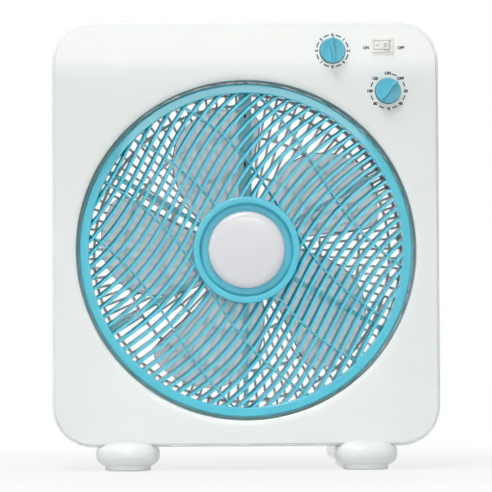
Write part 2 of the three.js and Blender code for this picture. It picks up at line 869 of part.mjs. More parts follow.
function rocker() {
  const outline = new THREE.Shape();
  const points = [
    [-rockerHalf, -rockerRise], [0, 0], [rockerHalf, -rockerRise],
    [rockerHalf - rockerRise, rockerSink / 2],
    [rockerFoot, rockerSink], [-rockerFoot, rockerSink], [rockerRise - rockerHalf, rockerSink / 2],
  ];
  outline.setFromPoints(points.map(([x, y]) => new THREE.Vector2(x, y - rockerPivot)));
  const depth = rockerHalfHeight * 2;
  const geometry = new THREE.ExtrudeGeometry(outline, { depth, bevelEnabled: false });
  geometry.translate(0, 0, -rockerHalfHeight);
  const key = solid(geometry).rotate([0, 0, -THREE.MathUtils.radToDeg(rockerTilt)]);
  const pins = trunnions(rockerWellHeight / 2 + trunnionLength - seatGap, trunnionRadius);
  return join(key.translate([0, bezelFrontY + rockerPivot, 0]), pins);
}

// Capacitor, gland and feet

function capacitor() {
  const shape = roundedRectangle(capacitorWidth, capacitorHeight, capacitorRadius);
  return plate(shape, panelBackY + seatGap, panelBackY + seatGap + capacitorDepth);
}

function cordGland() {
  const seatY = rearY + seatGap;
  const tailY = seatY + glandFlangeThickness + glandTail;
  const innerY = rearY - wall - seatGap;
  return turned([
    [glandBore, innerY - wall], [glandNeck + glandLip, innerY - wall], [glandNeck + glandLip, innerY],
    [glandNeck, innerY], [glandNeck, seatY], [glandFlange, seatY],
    [glandFlange, seatY + glandFlangeThickness],
    [glandTailRadius + glandLip, seatY + glandFlangeThickness],
    [glandTailRadius, tailY], [glandBore, tailY], [glandBore, innerY - wall],
  ], tinySteps);
}

// A pebble under the housing whose ends rise in front of it and behind it
function foot(side) {
  const rings = [];
  const x = side * (housingWidth / 2 - footFromSide);
  const half = footLength / 2;
  const power = 2 / footBluntness;
  const squared = (value) => Math.sign(value) * Math.abs(value) ** (2 / footSquareness);
  for (let ring = 0; ring <= footRings; ring += 1) {
    const angle = -Math.PI / 2 + ((ring + footTipShare) / (footRings + footTipShare * 2)) * Math.PI;
    const along = Math.sign(angle) * Math.abs(Math.sin(angle)) ** power;
    const size = Math.cos(angle) ** power;
    const points = [];
    for (let i = 0; i < footSides; i += 1) {
      const turn = (i / footSides) * Math.PI * 2;
      points.push(new THREE.Vector3(
        x + (footWidth / 2) * size * squared(Math.cos(turn)),
        half * along,
        footTopZ - footHeight / 2 + (footHeight / 2) * size * squared(Math.sin(turn)),
      ));
    }
    rings.push(points);
  }
  const ends = rings[0][0].y;
  const pebble = loft(rings).scale([1, -half / ends, 1]);
  const plinthTop = footTopZ - footHeight / 2;
  const plinthShape = roundedRectangle(plinthWidth, plinthLength, plinthRadius);
  const plinthGeometry = new THREE.ExtrudeGeometry(plinthShape, {
    depth: plinthTop, bevelEnabled: false, curveSegments: cornerSteps,
  });
  plinthGeometry.translate(x, 0, 0);
  const body = join(pebble, solid(plinthGeometry));
  const shell = loft([
    housingRing(-seatGap, frontY - seatGap), housingRing(-seatGap, rearY + seatGap),
  ]);
  return cut(body, shell);
}

// Materials

function plastic(color, roughness) {
  return new THREE.MeshStandardMaterial({ color, roughness, metalness: 0 });
}

function metal(color, roughness) {
  return new THREE.MeshStandardMaterial({ color, roughness, metalness: 1 });
}

const whitePlastic = () => plastic(0xe9ecea, 0.25);
const bluePlastic = () => plastic(0x5fc8da, 0.3);
const capPlastic = () => plastic(0xf2f2f4, 0.15);
const blackPlastic = () => plastic(0x1b1c1f, 0.5);
const ivoryPlastic = () => plastic(0xe8e6dc, 0.3);
const steel = () => metal(0xb9bcc0, 0.35);
const darkSteel = () => metal(0x6d7074, 0.5);

function bladePlastic() {
  const material = plastic(0x8fb0c4, 0.15);
  material.transparent = true;
  material.opacity = 0.6;
  return material;
}

// Assembly

function piece(parent, name, body, material) {
  const mesh = new THREE.Mesh(geometryOf(body), material);
  mesh.name = name;
  parent.add(mesh);
}

function groupAt(parent, x, z) {
  const group = new THREE.Group();
  group.position.set(x, 0, z);
  parent.add(group);
  return group;
}

const fan = new THREE.Group();

piece(fan, 'front_panel', frontPanel(), whitePlastic());
piece(fan, 'rear_shell', rearShell(), whitePlastic());
piece(fan, 'foot_left', foot(-1), whitePlastic());
piece(fan, 'foot_right', foot(1), whitePlastic());

const axis = groupAt(fan, 0, axisZ);
piece(axis, 'rear_grille', rearGrille(), whitePlastic());
piece(axis, 'louvre_wheel', louvreWheel(), bluePlastic());
piece(axis, 'hub_cap', hubCap(), capPlastic());
piece(axis, 'wheel_nut', hexNut(
  wheelNutRadius, syncShaftRadius + seatGap, wheelNutY, bossFrontY - seatGap,
), steel());
piece(axis, 'wheel_shaft', syncShaft(), steel());
piece(axis, 'wheel_motor', syncMotor(), steel());
piece(axis, 'wheel_motor_frame', spider(), bluePlastic());
piece(axis, 'wheel_motor_lead', syncLead(), blackPlastic());
piece(axis, 'fan_rotor', fanRotor(), bladePlastic());
piece(axis, 'rotor_nut', rotorNut(), blackPlastic());
piece(axis, 'motor_shaft', motorShaft(), steel());
piece(axis, 'motor_front_cap', motorCap(motorFrontY, stackFrontY - seatGap), darkSteel());
piece(axis, 'motor_rear_cap', motorCap(motorRearY, stackRearY + seatGap), darkSteel());
piece(axis, 'motor_stator', motorStator(), darkSteel());
piece(axis, 'motor_armature', band(
  shaftRadius + seatGap, armatureRadius, stackFrontY, stackRearY, smallSteps,
), darkSteel());
piece(axis, 'front_bearing', bearing(motorFrontY, 1), steel());
piece(axis, 'rear_bearing', bearing(motorRearY, -1), steel());

const speedDial = groupAt(fan, speedPlace.x, speedPlace.z);
piece(speedDial, 'speed_knob', dialKnob(0), bluePlastic());
piece(speedDial, 'speed_shaft', dialShaft(), steel());
piece(speedDial, 'speed_switch', dialBody(speedBody, speedBody, speedBodyDepth), blackPlastic());

const timerDial = groupAt(fan, timerPlace.x, timerPlace.z);
piece(timerDial, 'timer_knob', dialKnob(Math.PI / 4), bluePlastic());
piece(timerDial, 'timer_shaft', dialShaft(), steel());
piece(timerDial, 'timer_works', dialBody(timerBody, timerBody, timerBodyDepth), blackPlastic());

const rockerSwitch = groupAt(fan, rockerPlace.x, rockerPlace.z);
piece(rockerSwitch, 'rocker_housing', rockerHousing(), whitePlastic());
piece(rockerSwitch, 'rocker', rocker(), ivoryPlastic());

const capacitorPlace = groupAt(fan, capacitorFromSide - halfWidth, topZ - capacitorFromTop);
piece(capacitorPlace, 'capacitor', capacitor(), blackPlastic());

const glandGroup = groupAt(fan, glandPlace.x, glandPlace.z);
piece(glandGroup, 'cord_gland', cordGland(), blackPlastic());

export default fan;
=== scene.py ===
"""Box fan: finished surfaces, materials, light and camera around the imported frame.

The fan's sizes are in millimetres and are turned into metres where a mesh is made; lamps, the camera and what
materials measure are in metres. X runs to the right as seen from the front, Y to the back, Z up.
"""

from math import atan, copysign, cos, pi, radians, sin, sqrt, tan, tau

import bmesh
import bpy
from mathutils import Matrix, Vector

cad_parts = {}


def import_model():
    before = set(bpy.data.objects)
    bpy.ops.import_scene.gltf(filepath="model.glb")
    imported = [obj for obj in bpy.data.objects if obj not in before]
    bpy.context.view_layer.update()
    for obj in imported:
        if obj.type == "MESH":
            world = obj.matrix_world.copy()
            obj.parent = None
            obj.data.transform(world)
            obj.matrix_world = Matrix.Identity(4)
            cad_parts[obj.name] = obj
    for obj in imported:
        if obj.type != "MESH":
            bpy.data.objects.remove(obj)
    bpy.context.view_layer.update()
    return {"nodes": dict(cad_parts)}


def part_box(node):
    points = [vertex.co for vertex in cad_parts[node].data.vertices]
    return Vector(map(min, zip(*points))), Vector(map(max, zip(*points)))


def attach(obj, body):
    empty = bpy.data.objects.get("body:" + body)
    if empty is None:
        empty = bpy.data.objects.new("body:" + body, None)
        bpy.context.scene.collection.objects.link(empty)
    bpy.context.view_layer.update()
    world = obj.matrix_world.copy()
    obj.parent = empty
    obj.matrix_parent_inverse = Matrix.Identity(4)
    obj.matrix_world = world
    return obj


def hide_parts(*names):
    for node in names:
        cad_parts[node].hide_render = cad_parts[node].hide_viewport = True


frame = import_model()

MM = 0.001
MERGE_DISTANCE = 1e-7
SLIVER = 1e-8
NEAR_AXIS = 0.01
SHARP_ANGLE = radians(38)
ROUND_ANGLE = radians(50)
ARC_STEPS = 4
ROUND_STEPS = 5
HOLE_STEPS = 32
TURNED_STEPS = 192


def mm_box(node):
    """Lowest and highest corner of a CAD node, in millimetres."""
    low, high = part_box(node)
    return [c / MM for c in low], [c / MM for c in high]


def centre_of(low, high):
    """The middle of a box as seen from the front, at depth 0."""
    return Vector(((low[0] + high[0]) / 2, 0, (low[2] + high[2]) / 2))


# Places taken from the frame

SEAT_GAP = 0.3
SHELL_LOW, SHELL_HIGH = mm_box("rear_shell")
PANEL_LOW, PANEL_HIGH = mm_box("front_panel")
WHEEL_LOW, WHEEL_HIGH = mm_box("louvre_wheel")
GRILLE_FRONT_Y, GRILLE_REAR_Y = (corner[1] for corner in mm_box("rear_grille"))
ROTOR_FRONT_Y, ROTOR_REAR_Y = (corner[1] for corner in mm_box("fan_rotor"))

HALF_WIDTH = SHELL_HIGH[0]
HALF_HEIGHT = (SHELL_HIGH[2] - SHELL_LOW[2]) / 2
MIDDLE_Z = (SHELL_HIGH[2] + SHELL_LOW[2]) / 2
FRONT_Y = PANEL_LOW[1]
REAR_Y = SHELL_HIGH[1]
RIM_Y = SHELL_LOW[1]
DUCT_REAR_Y = PANEL_HIGH[1]
RIM_STEP = HALF_WIDTH - PANEL_HIGH[0]
WHEEL_RADIUS = (WHEEL_HIGH[0] - WHEEL_LOW[0]) / 2
AXIS_Z = (WHEEL_HIGH[2] + WHEEL_LOW[2]) / 2
AXIS = Vector((0, 0, AXIS_Z))
OPENING_RADIUS = mm_box("wheel_motor_frame")[1][0] + SEAT_GAP

# Housing

CORNER_RADIUS = 40.5
WALL = 2.4
PANEL_EDGE = 1.3
PANEL_RIM_ROUND = 0.4
LIP_REACH = 7
LIP_DEPTH = 2.2
TONGUE = 9
TONGUE_ROUND = 0.5
DUCT_WALL = 2
REAR_TAPER = 3
REAR_EDGE = 12
REAR_STRAIGHT_Y = REAR_Y - REAR_EDGE
RIM_ROUND = 0.7
GRILLE_OPENING = 165
GRILLE_OPENING_ROUND = 1.4
GLAND_HOLE = 7.3
HOUSING_COLUMNS = 420
PARALLEL = 1e-9


def around(steps):
    """Angles round a full turn."""
    return [tau * step / steps for step in range(steps)]


def quarter(steps):
    """Angles through a quarter turn, both ends included."""
    return [pi / 2 * step / steps for step in range(steps + 1)]


def filleted(corners, steps=ARC_STEPS):
    """The outline through (a, b, radius) corners, each rounded by an arc of its radius."""
    points = []
    for i, (a, b, radius) in enumerate(corners):
        here = Vector((a, b))
        if radius <= 0:
            points.append(here)
            continue
        before = (Vector(corners[i - 1][:2]) - here).normalized()
        after = (Vector(corners[(i + 1) % len(corners)][:2]) - here).normalized()
        half = before.angle(after) / 2
        centre = here + (before + after).normalized() * (radius / sin(half))
        start = here + before * (radius / tan(half)) - centre
        end = here + after * (radius / tan(half)) - centre
        turn = start.angle_signed(end)
        for step in range(steps + 1):
            spin = Matrix.Rotation(-turn * step / steps, 2)
            points.append(centre + spin @ start)
    return points


def housing_point(angle, inset):
    """Where a ray from the wheel's axis meets the housing's outline, drawn in by an inset."""
    half_width = HALF_WIDTH - inset
    half_height = HALF_HEIGHT - inset
    radius = CORNER_RADIUS - inset
    direction = Vector((cos(angle), sin(angle)))
    origin = Vector((0, AXIS_Z - MIDDLE_Z))
    reach = []
    if abs(direction.x) > PARALLEL:
        reach.append((copysign(half_width, direction.x) - origin.x) / direction.x)
    if abs(direction.y) > PARALLEL:
        reach.append((copysign(half_height, direction.y) - origin.y) / direction.y)
    hit = origin + direction * min(reach)
    corner = Vector((copysign(half_width - radius, hit.x), copysign(half_height - radius, hit.y)))
    if abs(hit.x) > abs(corner.x) and abs(hit.y) > abs(corner.y):
        offset = origin - corner
        along = offset.dot(direction)
        length = -along + sqrt(along * along - offset.length_squared + radius * radius)
        hit = origin + direction * length
    return Vector((hit.x, 0, hit.y + MIDDLE_Z))


def housing_loop(inset, y):
    """One closed loop round the housing, at a depth."""
    points = [housing_point(angle, inset) for angle in around(HOUSING_COLUMNS)]
    return [Vector((point.x, y, point.z)) for point in points]


def circle_loop(radius, y, steps, centre=AXIS):
    """One closed loop round an axis along Y."""
    return [centre + Vector((radius * cos(turn), y, radius * sin(turn))) for turn in around(steps)]


def skin(loops, wrap=False, caps=False):
    """Points and faces of a skin through loops of points."""
    count = len(loops[0])
    rows = len(loops)
    points = [point for loop in loops for point in loop]
    faces = []
    for row in range(rows if wrap else rows - 1):
        here = row * count
        there = (row + 1) % rows * count
        for i in range(count):
            j = (i + 1) % count
            faces.append((here + i, here + j, there + j, there + i))
    if caps:
        faces.append(tuple(range(count)))
        faces.append(tuple(range((rows - 1) * count, rows * count)))
    return points, faces


def lathe(profile, steps, centre=AXIS):
    """A closed profile of (radius, y) points turned round an axis along Y."""
    return skin([circle_loop(radius, y, steps, centre) for radius, y in profile], wrap=True)


def rounded_loop(width, height, radius, steps=6):
    """A rounded rectangle of (x, z) points."""
    half_x, half_z = width / 2, height / 2
    corners = ((half_x, half_z), (-half_x, half_z), (-half_x, -half_z), (half_x, -half_z))
    return filleted([(x, z, radius) for x, z in corners], steps)


def at_depth(outline, y, centre):
    """An outline of (x, z) points put round a centre, at a depth."""
    return [Vector((centre.x + point.x, y, centre.z + point.y)) for point in outline]


def make_mesh(name, parts, rims=()):
    """One mesh from (points, faces) parts; rims say how near to an edge each point is."""
    points = []
    faces = []
    for part_points, part_faces in parts:
        start = len(points)
        points += [tuple(c * MM for c in point) for point in part_points]
        faces += [tuple(start + i for i in face) for face in part_faces]
    mesh = bpy.data.meshes.new(name)
    mesh.from_pydata(points, [], faces)
    if rims:
        mesh.attributes.new("rim", "FLOAT", "POINT").data.foreach_set("value", rims)
    work = bmesh.new()
    work.from_mesh(mesh)
    bmesh.ops.remove_doubles(work, verts=work.verts, dist=MERGE_DISTANCE)
    bmesh.ops.dissolve_degenerate(work, edges=work.edges, dist=SLIVER)
    bmesh.ops.recalc_face_normals(work, faces=work.faces)
    work.to_mesh(mesh)
    work.free()
    return mesh


def soften(obj, angle=SHARP_ANGLE):
    """Smooth shading that keeps flat faces flat and sharp edges sharp."""
    obj.data.shade_smooth()
    obj.data.set_sharp_from_angle(angle=angle)
    weighted = obj.modifiers.new("weighted_normals", "WEIGHTED_NORMAL")
    weighted.keep_sharp = True


def added(name, data):
    """A new object in the scene."""
    obj = bpy.data.objects.new(name, data)
    bpy.context.scene.collection.objects.link(obj)
    return obj


def piece(name, parts, material, body, replaced=(), angle=SHARP_ANGLE, rims=()):
    """A piece of the fan that rides on a body and stands for CAD nodes."""
    obj = added(name, make_mesh(name, parts, rims))
    obj.data.materials.append(material)
    soften(obj, angle)
    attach(obj, body)
    if replaced:
        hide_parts(*replaced)
    return obj


def cut_by(obj, tools):
    """Cuts closed tool meshes out of an object, for good."""
    helpers = []
    for tool in tools:
        helpers.append(added("tool", make_mesh("tool", [tool])))
        boolean = obj.modifiers.new("cut", "BOOLEAN")
        boolean.object = helpers[-1]
        boolean.operation = "DIFFERENCE"
        boolean.solver = "EXACT"
    obj.modifiers.remove(obj.modifiers["weighted_normals"])
    graph = bpy.context.evaluated_depsgraph_get()
    whole = bpy.data.meshes.new_from_object(obj.evaluated_get(graph))
    obj.modifiers.clear()
    obj.data = whole
    for helper in helpers:
        bpy.data.objects.remove(helper)
    soften(obj)


# Materials

DARK_STOP = (0, 0, 0, 1)
WHITE_STOP = (1, 1, 1, 1)
RELIEF_DEPTH = 0.0002
PLASTIC_GRAIN = 900
PLASTIC_MOTTLE = 0.03
PLASTIC_DEPTH = 0.003
COAT_ROUGHNESS = 0.06
METAL_GRAIN = 400
MIX_FIRST, MIX_SECOND, MIX_RESULT = 6, 7, 2


def srgb(red, green, blue):
    """A colour given as 0 to 255 on screen, as the shader wants it."""
    def linear(value):
        value /= 255
        return value / 12.92 if value <= 0.04045 else ((value + 0.055) / 1.055) ** 2.4
    return (linear(red), linear(green), linear(blue), 1)


def new_material(name):
    """An empty node material and its Principled shader."""
    material = bpy.data.materials.new(name)
    material.use_nodes = True
    shader = material.node_tree.nodes["Principled BSDF"]
    return material, material.node_tree, shader


def add_node(tree, kind, inputs, **settings):
    """A new shader node; inputs gives its sockets a value or another node's output."""
    made = tree.nodes.new("ShaderNode" + kind)
    for setting, value in settings.items():
        setattr(made, setting, value)
    for socket, value in inputs.items():
        if isinstance(value, bpy.types.NodeSocket):
            tree.links.new(value, made.inputs[socket])
        else:
            made.inputs[socket].default_value = value
    return made


def noise(tree, scale, detail, stretch=(1, 1, 1)):
    """A noise value on object coordinates, in cycles per metre."""
    place = add_node(tree, "TexCoord", {}).outputs["Object"]
    mapped = add_node(tree, "Mapping", {"Vector": place, "Scale": stretch}).outputs["Vector"]
    return add_node(tree, "TexNoise", {"Vector": mapped, "Scale": scale, "Detail": detail}).outputs["Fac"]


def ramp(tree, value, low, high, low_color, high_color):
    """A value turned into a colour between two stops."""
    made = add_node(tree, "ValToRGB", {"Fac": value})
    for stop, position, color in zip(made.color_ramp.elements, (low, high), (low_color, high_color)):
        stop.position = position
        stop.color = color
    return made.outputs["Color"]


def spread(tree, value, low, high):
    """A 0 to 1 value mapped to a range."""
    return add_node(tree, "MapRange", {"Value": value, "To Min": low, "To Max": high}).outputs["Result"]


def mixed(tree, factor, first, second):
    """Two colours mixed by a factor."""
    inputs = {"Factor": factor, MIX_FIRST: first, MIX_SECOND: second}
    return add_node(tree, "Mix", inputs, data_type="RGBA").outputs[MIX_RESULT]


def solid(tree, color):
    """One plain colour."""
    made = add_node(tree, "RGB", {})
    made.outputs[0].default_value = color
    return made.outputs[0]


def bump(tree, shader, height, strength):
    """Fine relief from a height value."""
    made = add_node(tree, "Bump", {"Strength": strength, "Distance": RELIEF_DEPTH, "Height": height})
    tree.links.new(made.outputs["Normal"], shader.inputs["Normal"])


def shade(color, factor):
    """A colour made darker or lighter, with its alpha kept."""
    return tuple(min(1.0, c * factor) for c in color[:3]) + (color[3],)


def plastic(name, color, roughness, coat=0.0, relief=0.04, edge_highlight=1.05, depth=0.0):
    """Moulded plastic: flow marks, fine grain, a painted highlight that lightens its sharp edges and some
    light inside.
    """
    material, tree, shader = new_material(name)
    flow = ramp(
        tree, noise(tree, scale=14, detail=2), low=0.3, high=0.7,
        low_color=shade(color, 1 - PLASTIC_MOTTLE), high_color=color,
    )
    # Painted highlight: sharp edges, found by pointiness, get a lighter copy of the base colour.
    edges = add_node(tree, "NewGeometry", {}).outputs["Pointiness"]
    highlight_share = ramp(tree, edges, low=0.5, high=0.56, low_color=DARK_STOP, high_color=WHITE_STOP)
    edge_highlight_color = solid(tree, shade(color, edge_highlight))
    tree.links.new(mixed(tree, highlight_share, flow, edge_highlight_color), shader.inputs["Base Color"])
    patchy = spread(tree, noise(tree, scale=60, detail=4), roughness * 0.85, roughness * 1.15)
    tree.links.new(patchy, shader.inputs["Roughness"])
    shader.inputs["Coat Weight"].default_value = coat
    shader.inputs["Coat Roughness"].default_value = COAT_ROUGHNESS
    shader.inputs["Subsurface Weight"].default_value = depth
    shader.inputs["Subsurface Radius"].default_value = (1.0, 1.0, 1.0)
    shader.inputs["Subsurface Scale"].default_value = PLASTIC_DEPTH
    bump(tree, shader, noise(tree, scale=PLASTIC_GRAIN, detail=2), relief)
    return material


def blade_plastic(name, color, rim_color, alpha, rim_alpha):
    """Translucent tinted plastic that looks denser along its edges."""
    material, tree, shader = new_material(name)
    rim = add_node(tree, "Attribute", {}, attribute_name="rim").outputs["Fac"]
    flow = ramp(
        tree, noise(tree, scale=9, detail=2, stretch=(1, 1, 2)), low=0.25, high=0.75,
        low_color=shade(color, 0.96), high_color=color,
    )
    tree.links.new(mixed(tree, rim, flow, solid(tree, rim_color)), shader.inputs["Base Color"])
    tree.links.new(spread(tree, rim, alpha, rim_alpha), shader.inputs["Alpha"])
    patchy = spread(tree, noise(tree, scale=40, detail=3), low=0.5, high=0.6)
    tree.links.new(patchy, shader.inputs["Roughness"])
    shader.inputs["Transmission Weight"].default_value = 0.45
    shader.inputs["IOR"].default_value = 1.2
    bump(tree, shader, noise(tree, scale=400, detail=2), strength=0.02)
    return material


def metal(name, color, roughness, stretch):
    """Drawn or pressed metal with fine marks along one way."""
    material, tree, shader = new_material(name)
    marks = noise(tree, METAL_GRAIN, 4, stretch)
    tone = ramp(tree, marks, low=0.3, high=0.7, low_color=shade(color, 0.8), high_color=color)
    tree.links.new(tone, shader.inputs["Base Color"])
    tree.links.new(spread(tree, marks, roughness * 0.7, roughness * 1.3), shader.inputs["Roughness"])
    shader.inputs["Metallic"].default_value = 1.0
    bump(tree, shader, marks, strength=0.1)
    return material


def ink(name, color):
    """Printed ink, a little uneven."""
    material, tree, shader = new_material(name)
    tone = ramp(
        tree, noise(tree, scale=500, detail=3), low=0.3, high=0.8,
        low_color=color, high_color=shade(color, 1.6),
    )
    tree.links.new(tone, shader.inputs["Base Color"])
    shader.inputs["Roughness"].default_value = 0.5
    return material


WHITE = plastic("white_plastic", srgb(231, 236, 234), 0.45, coat=1.0, relief=0.03, edge_highlight=1.03)
GRILLE_WHITE = plastic("grille_plastic", srgb(238, 237, 234), 0.4, relief=0.06)
BLUE = plastic("blue_plastic", srgb(76, 196, 217), 0.4, coat=0.8, edge_highlight=1.1, depth=0.5)
# Painted light: a lighter, greyer copy of the blue plastic for the frame, which sits in shade behind the
# wheel.
LIT_FRAME_BLUE = plastic("frame_plastic_painted_light", srgb(150, 212, 216), 0.45, coat=0.1)
KNOB_BLUE = plastic("knob_plastic", srgb(84, 188, 212), 0.36, coat=0.1, edge_highlight=1.12)
CAP_WHITE = plastic("cap_plastic", srgb(217, 218, 222), 0.3, coat=1.0, relief=0.01, edge_highlight=1.01)
IVORY = plastic("ivory_plastic", srgb(240, 240, 234), 0.35, coat=0.2, edge_highlight=1.03)
BLACK = plastic("black_plastic", srgb(34, 35, 38), 0.5, relief=0.12, edge_highlight=1.5)
BLADE = blade_plastic(
    "blade_plastic", srgb(226, 246, 250), rim_color=srgb(28, 88, 128), alpha=0.56, rim_alpha=0.97,
)
STEEL = metal("steel", srgb(196, 198, 202), 0.3, stretch=(1, 8, 1))
DARK_STEEL = metal("dark_steel", srgb(96, 99, 104), 0.45, stretch=(1, 14, 1))
INK = ink("ink", srgb(14, 15, 18))


# Housing pieces


def front_panel():
    """The panel: rounded edge, flat face, lip of the opening and the duct behind it."""
    rim_rear = RIM_Y - SEAT_GAP
    back_y = FRONT_Y + WALL
    outer = RIM_STEP
    tongue = WALL + SEAT_GAP
    tongue_rear = RIM_Y + TONGUE
    inner = tongue + WALL
    loops = [circle_loop(OPENING_RADIUS, DUCT_REAR_Y, HOUSING_COLUMNS)]
    for angle in quarter(steps=14):
        radius = OPENING_RADIUS + LIP_REACH * (1 - cos(angle))
        loops.append(circle_loop(radius, FRONT_Y + LIP_DEPTH * (1 - sin(angle)), HOUSING_COLUMNS))
    rounding = filleted([
        (inner, FRONT_Y, 0), (outer, FRONT_Y, PANEL_EDGE), (outer, rim_rear, 0),
    ], steps=7)[1:-1]
    edge = filleted([
        (outer, rim_rear, PANEL_RIM_ROUND), (tongue, rim_rear, 0), (tongue, tongue_rear, TONGUE_ROUND),
        (inner, tongue_rear, TONGUE_ROUND), (inner, back_y, 0),
    ])
    loops += [housing_loop(p.x, p.y) for p in [*rounding, *edge]]
    loops += [circle_loop(OPENING_RADIUS + DUCT_WALL, y, HOUSING_COLUMNS) for y in (back_y, DUCT_REAR_Y)]
    piece("panel", [skin(loops, wrap=True)], WHITE, "housing", ("front_panel",))


def taper(y):
    """How far the shell's side is drawn in at a depth."""
    return REAR_TAPER * (y - RIM_Y) / (REAR_STRAIGHT_Y - RIM_Y)


def edge_loop(angle, start, reach):
    """A loop of the rounding between the shell's side and its back."""
    return housing_loop(start + reach * (1 - cos(angle)), REAR_STRAIGHT_Y + reach * sin(angle))


GRIP_WIDTH = 104
GRIP_HEIGHT = 30
GRIP_FLOOR_Y = REAR_Y - 34
GRIP_RADIUS = 12
GRIP_LEAST_RADIUS = 0.8
GRIP_BELOW_TOP = 14.9
GRIP_CENTRE = Vector((0, 0, SHELL_HIGH[2] - GRIP_BELOW_TOP - GRIP_HEIGHT / 2))
GRIP_WALL = 2
GRIP_SINK = 0.02
# (inset, y, rounding) corners of the pocket from its lip to its floor
GRIP_SECTION = (
    (-WALL, REAR_Y, 0), (0, REAR_Y, 1.6), (1.2, GRIP_FLOOR_Y, 4), (14, GRIP_FLOOR_Y, 0),
)
THROUGH_BACK = (REAR_Y - 6, REAR_Y + 6)
SCREW_PLACES = [
    Vector((side * across, 0, z))
    for across, z in ((166, 425), (166, 237), (166, 60), (62, 41))
    for side in (-1, 1)
]
SCREW_HOLE = 5.2
SCREW_WELL = 9
# (radius, height) corners of a well from the middle of its bottom
WELL_SECTION = (
    (NEAR_AXIS, 0), (SCREW_HOLE - 0.4, 0), (SCREW_HOLE - 0.1, SCREW_WELL - 0.05),
    (SCREW_HOLE + 0.9, SCREW_WELL - WALL), (SCREW_HOLE + 0.9, -1.5), (NEAR_AXIS, -1.5),
)
SCREW_HEAD = 3.9
SCREW_HEAD_SEAT = 0.1
SCREW_HEAD_RISE = 2.6
SLOT_SIZES = ((4.6, 0.9), (0.9, 4.6))
SLOT_ROUND = 0.2
SLOT_HEIGHTS = (1.1, 3.5)


def hole(radius, centre):
    """A round tool through the shell's back."""
    return skin([circle_loop(radius, y, HOLE_STEPS, centre) for y in THROUGH_BACK], caps=True)


def rear_shell():
    """The rear shell, with openings for the hand grip, the screws and the cord's gland cut into its back."""
    loops = [housing_loop(RIM_ROUND, RIM_Y)]
    loops += [housing_loop(taper(y), y) for y in (RIM_Y + RIM_ROUND, 0, REAR_STRAIGHT_Y)]
    loops += [edge_loop(angle, REAR_TAPER, REAR_EDGE) for angle in quarter(steps=8)[1:]]
    beyond = GRILLE_OPENING + REAR_EDGE
    lip = filleted([
        (beyond, REAR_Y, 0), (GRILLE_OPENING, REAR_Y, GRILLE_OPENING_ROUND),
        (GRILLE_OPENING, REAR_Y - WALL, 0), (beyond, REAR_Y - WALL, 0),
    ])[1:-1]
    loops += [circle_loop(p.x, p.y, HOUSING_COLUMNS) for p in lip]
    loops += [
        edge_loop(angle, REAR_TAPER + WALL, REAR_EDGE - WALL) for angle in reversed(quarter(steps=6))
    ]
    loops.append(housing_loop(WALL, RIM_Y))
    shell = piece("shell", [skin(loops, wrap=True)], WHITE, "housing", ("rear_shell",))
    grip = rounded_loop(GRIP_WIDTH, GRIP_HEIGHT, GRIP_RADIUS)
    cut_by(shell, [
        skin([at_depth(grip, y, GRIP_CENTRE) for y in THROUGH_BACK], caps=True),
        *(hole(SCREW_HOLE, place) for place in SCREW_PLACES),
        hole(GLAND_HOLE, centre_of(*mm_box("cord_gland"))),
    ])


def hand_grip():
    """The pocket behind the hand grip's opening: rounded lip, walls and floor."""
    def pocket(inset, y):
        radius = max(GRIP_LEAST_RADIUS, GRIP_RADIUS - inset)
        outline = rounded_loop(GRIP_WIDTH - inset * 2, GRIP_HEIGHT - inset * 2, radius)
        return at_depth(outline, y, GRIP_CENTRE)

    profile = filleted(GRIP_SECTION, ROUND_STEPS)[1:]
    loops = [pocket(p.x, min(p.y, REAR_Y - GRIP_SINK)) for p in reversed(profile)]
    loops += [pocket(-GRIP_WALL, y) for y in (REAR_Y - WALL, GRIP_FLOOR_Y - GRIP_WALL)]
    piece("hand_grip", [skin(loops, caps=True)], WHITE, "housing", ("rear_shell",))


def screws():
    """Screws sunk into wells in the back, with a cross in each head."""
    bottom = REAR_Y - SCREW_WELL
    well = [(radius, bottom + height) for radius, height in WELL_SECTION]
    head = [(radius, bottom + SCREW_HEAD_SEAT) for radius in (NEAR_AXIS, SCREW_HEAD)]
    head += [
        (SCREW_HEAD * sin(angle), bottom + SCREW_HEAD_RISE * cos(angle))
        for angle in reversed(quarter(steps=6))
    ]
    wells = [lathe(well, HOLE_STEPS, place) for place in SCREW_PLACES]
    piece("screw_wells", wells, WHITE, "housing")
    heads = [lathe(head, steps=28, centre=place) for place in SCREW_PLACES]
    screw = piece("screws", heads, STEEL, "housing")
    slots = []
    for place in SCREW_PLACES:
        for size in SLOT_SIZES:
            outline = rounded_loop(*size, SLOT_ROUND, steps=1)
            loops = [at_depth(outline, bottom + height, place) for height in SLOT_HEIGHTS]
            slots.append(skin(loops, caps=True))
    cut_by(screw, slots)


GRILLE_BAR = 2.5
GRILLE_BAR_ROUND = 0.6
GRILLE_BITE = 1
GRILLE_OVERLAP = 0.5
GRILLE_RINGS = (82, 122, 154)
GRILLE_RING_HALF = 1.5
GRILLE_RING_PROUD = 0.9
GRILLE_RING_ROUND = 0.8
GRILLE_COUNTS = (50, 78, 96)
GRILLE_PLATE = 52
GRILLE_PLATE_CHAMFER = 0.6
GRILLE_OUTER = 172
GRILLE_OUTER_BITE = 3


def grille_bar(inner, outer, angle):
    """One bar of the rear grille, with its corners rounded."""
    low, high = GRILLE_FRONT_Y, GRILLE_REAR_Y
    half = GRILLE_BAR / 2
    section = filleted([
        (a, b, GRILLE_BAR_ROUND) for a, b in ((-half, low), (half, low), (half, high), (-half, high))
    ], steps=2)
    along = Vector((cos(angle), 0, sin(angle)))
    across = Vector((-sin(angle), 0, cos(angle)))
    loops = [
        [AXIS + along * reach + across * p.x + Vector((0, p.y, 0)) for p in section]
        for reach in (inner, outer)
    ]
    return skin(loops, caps=True)


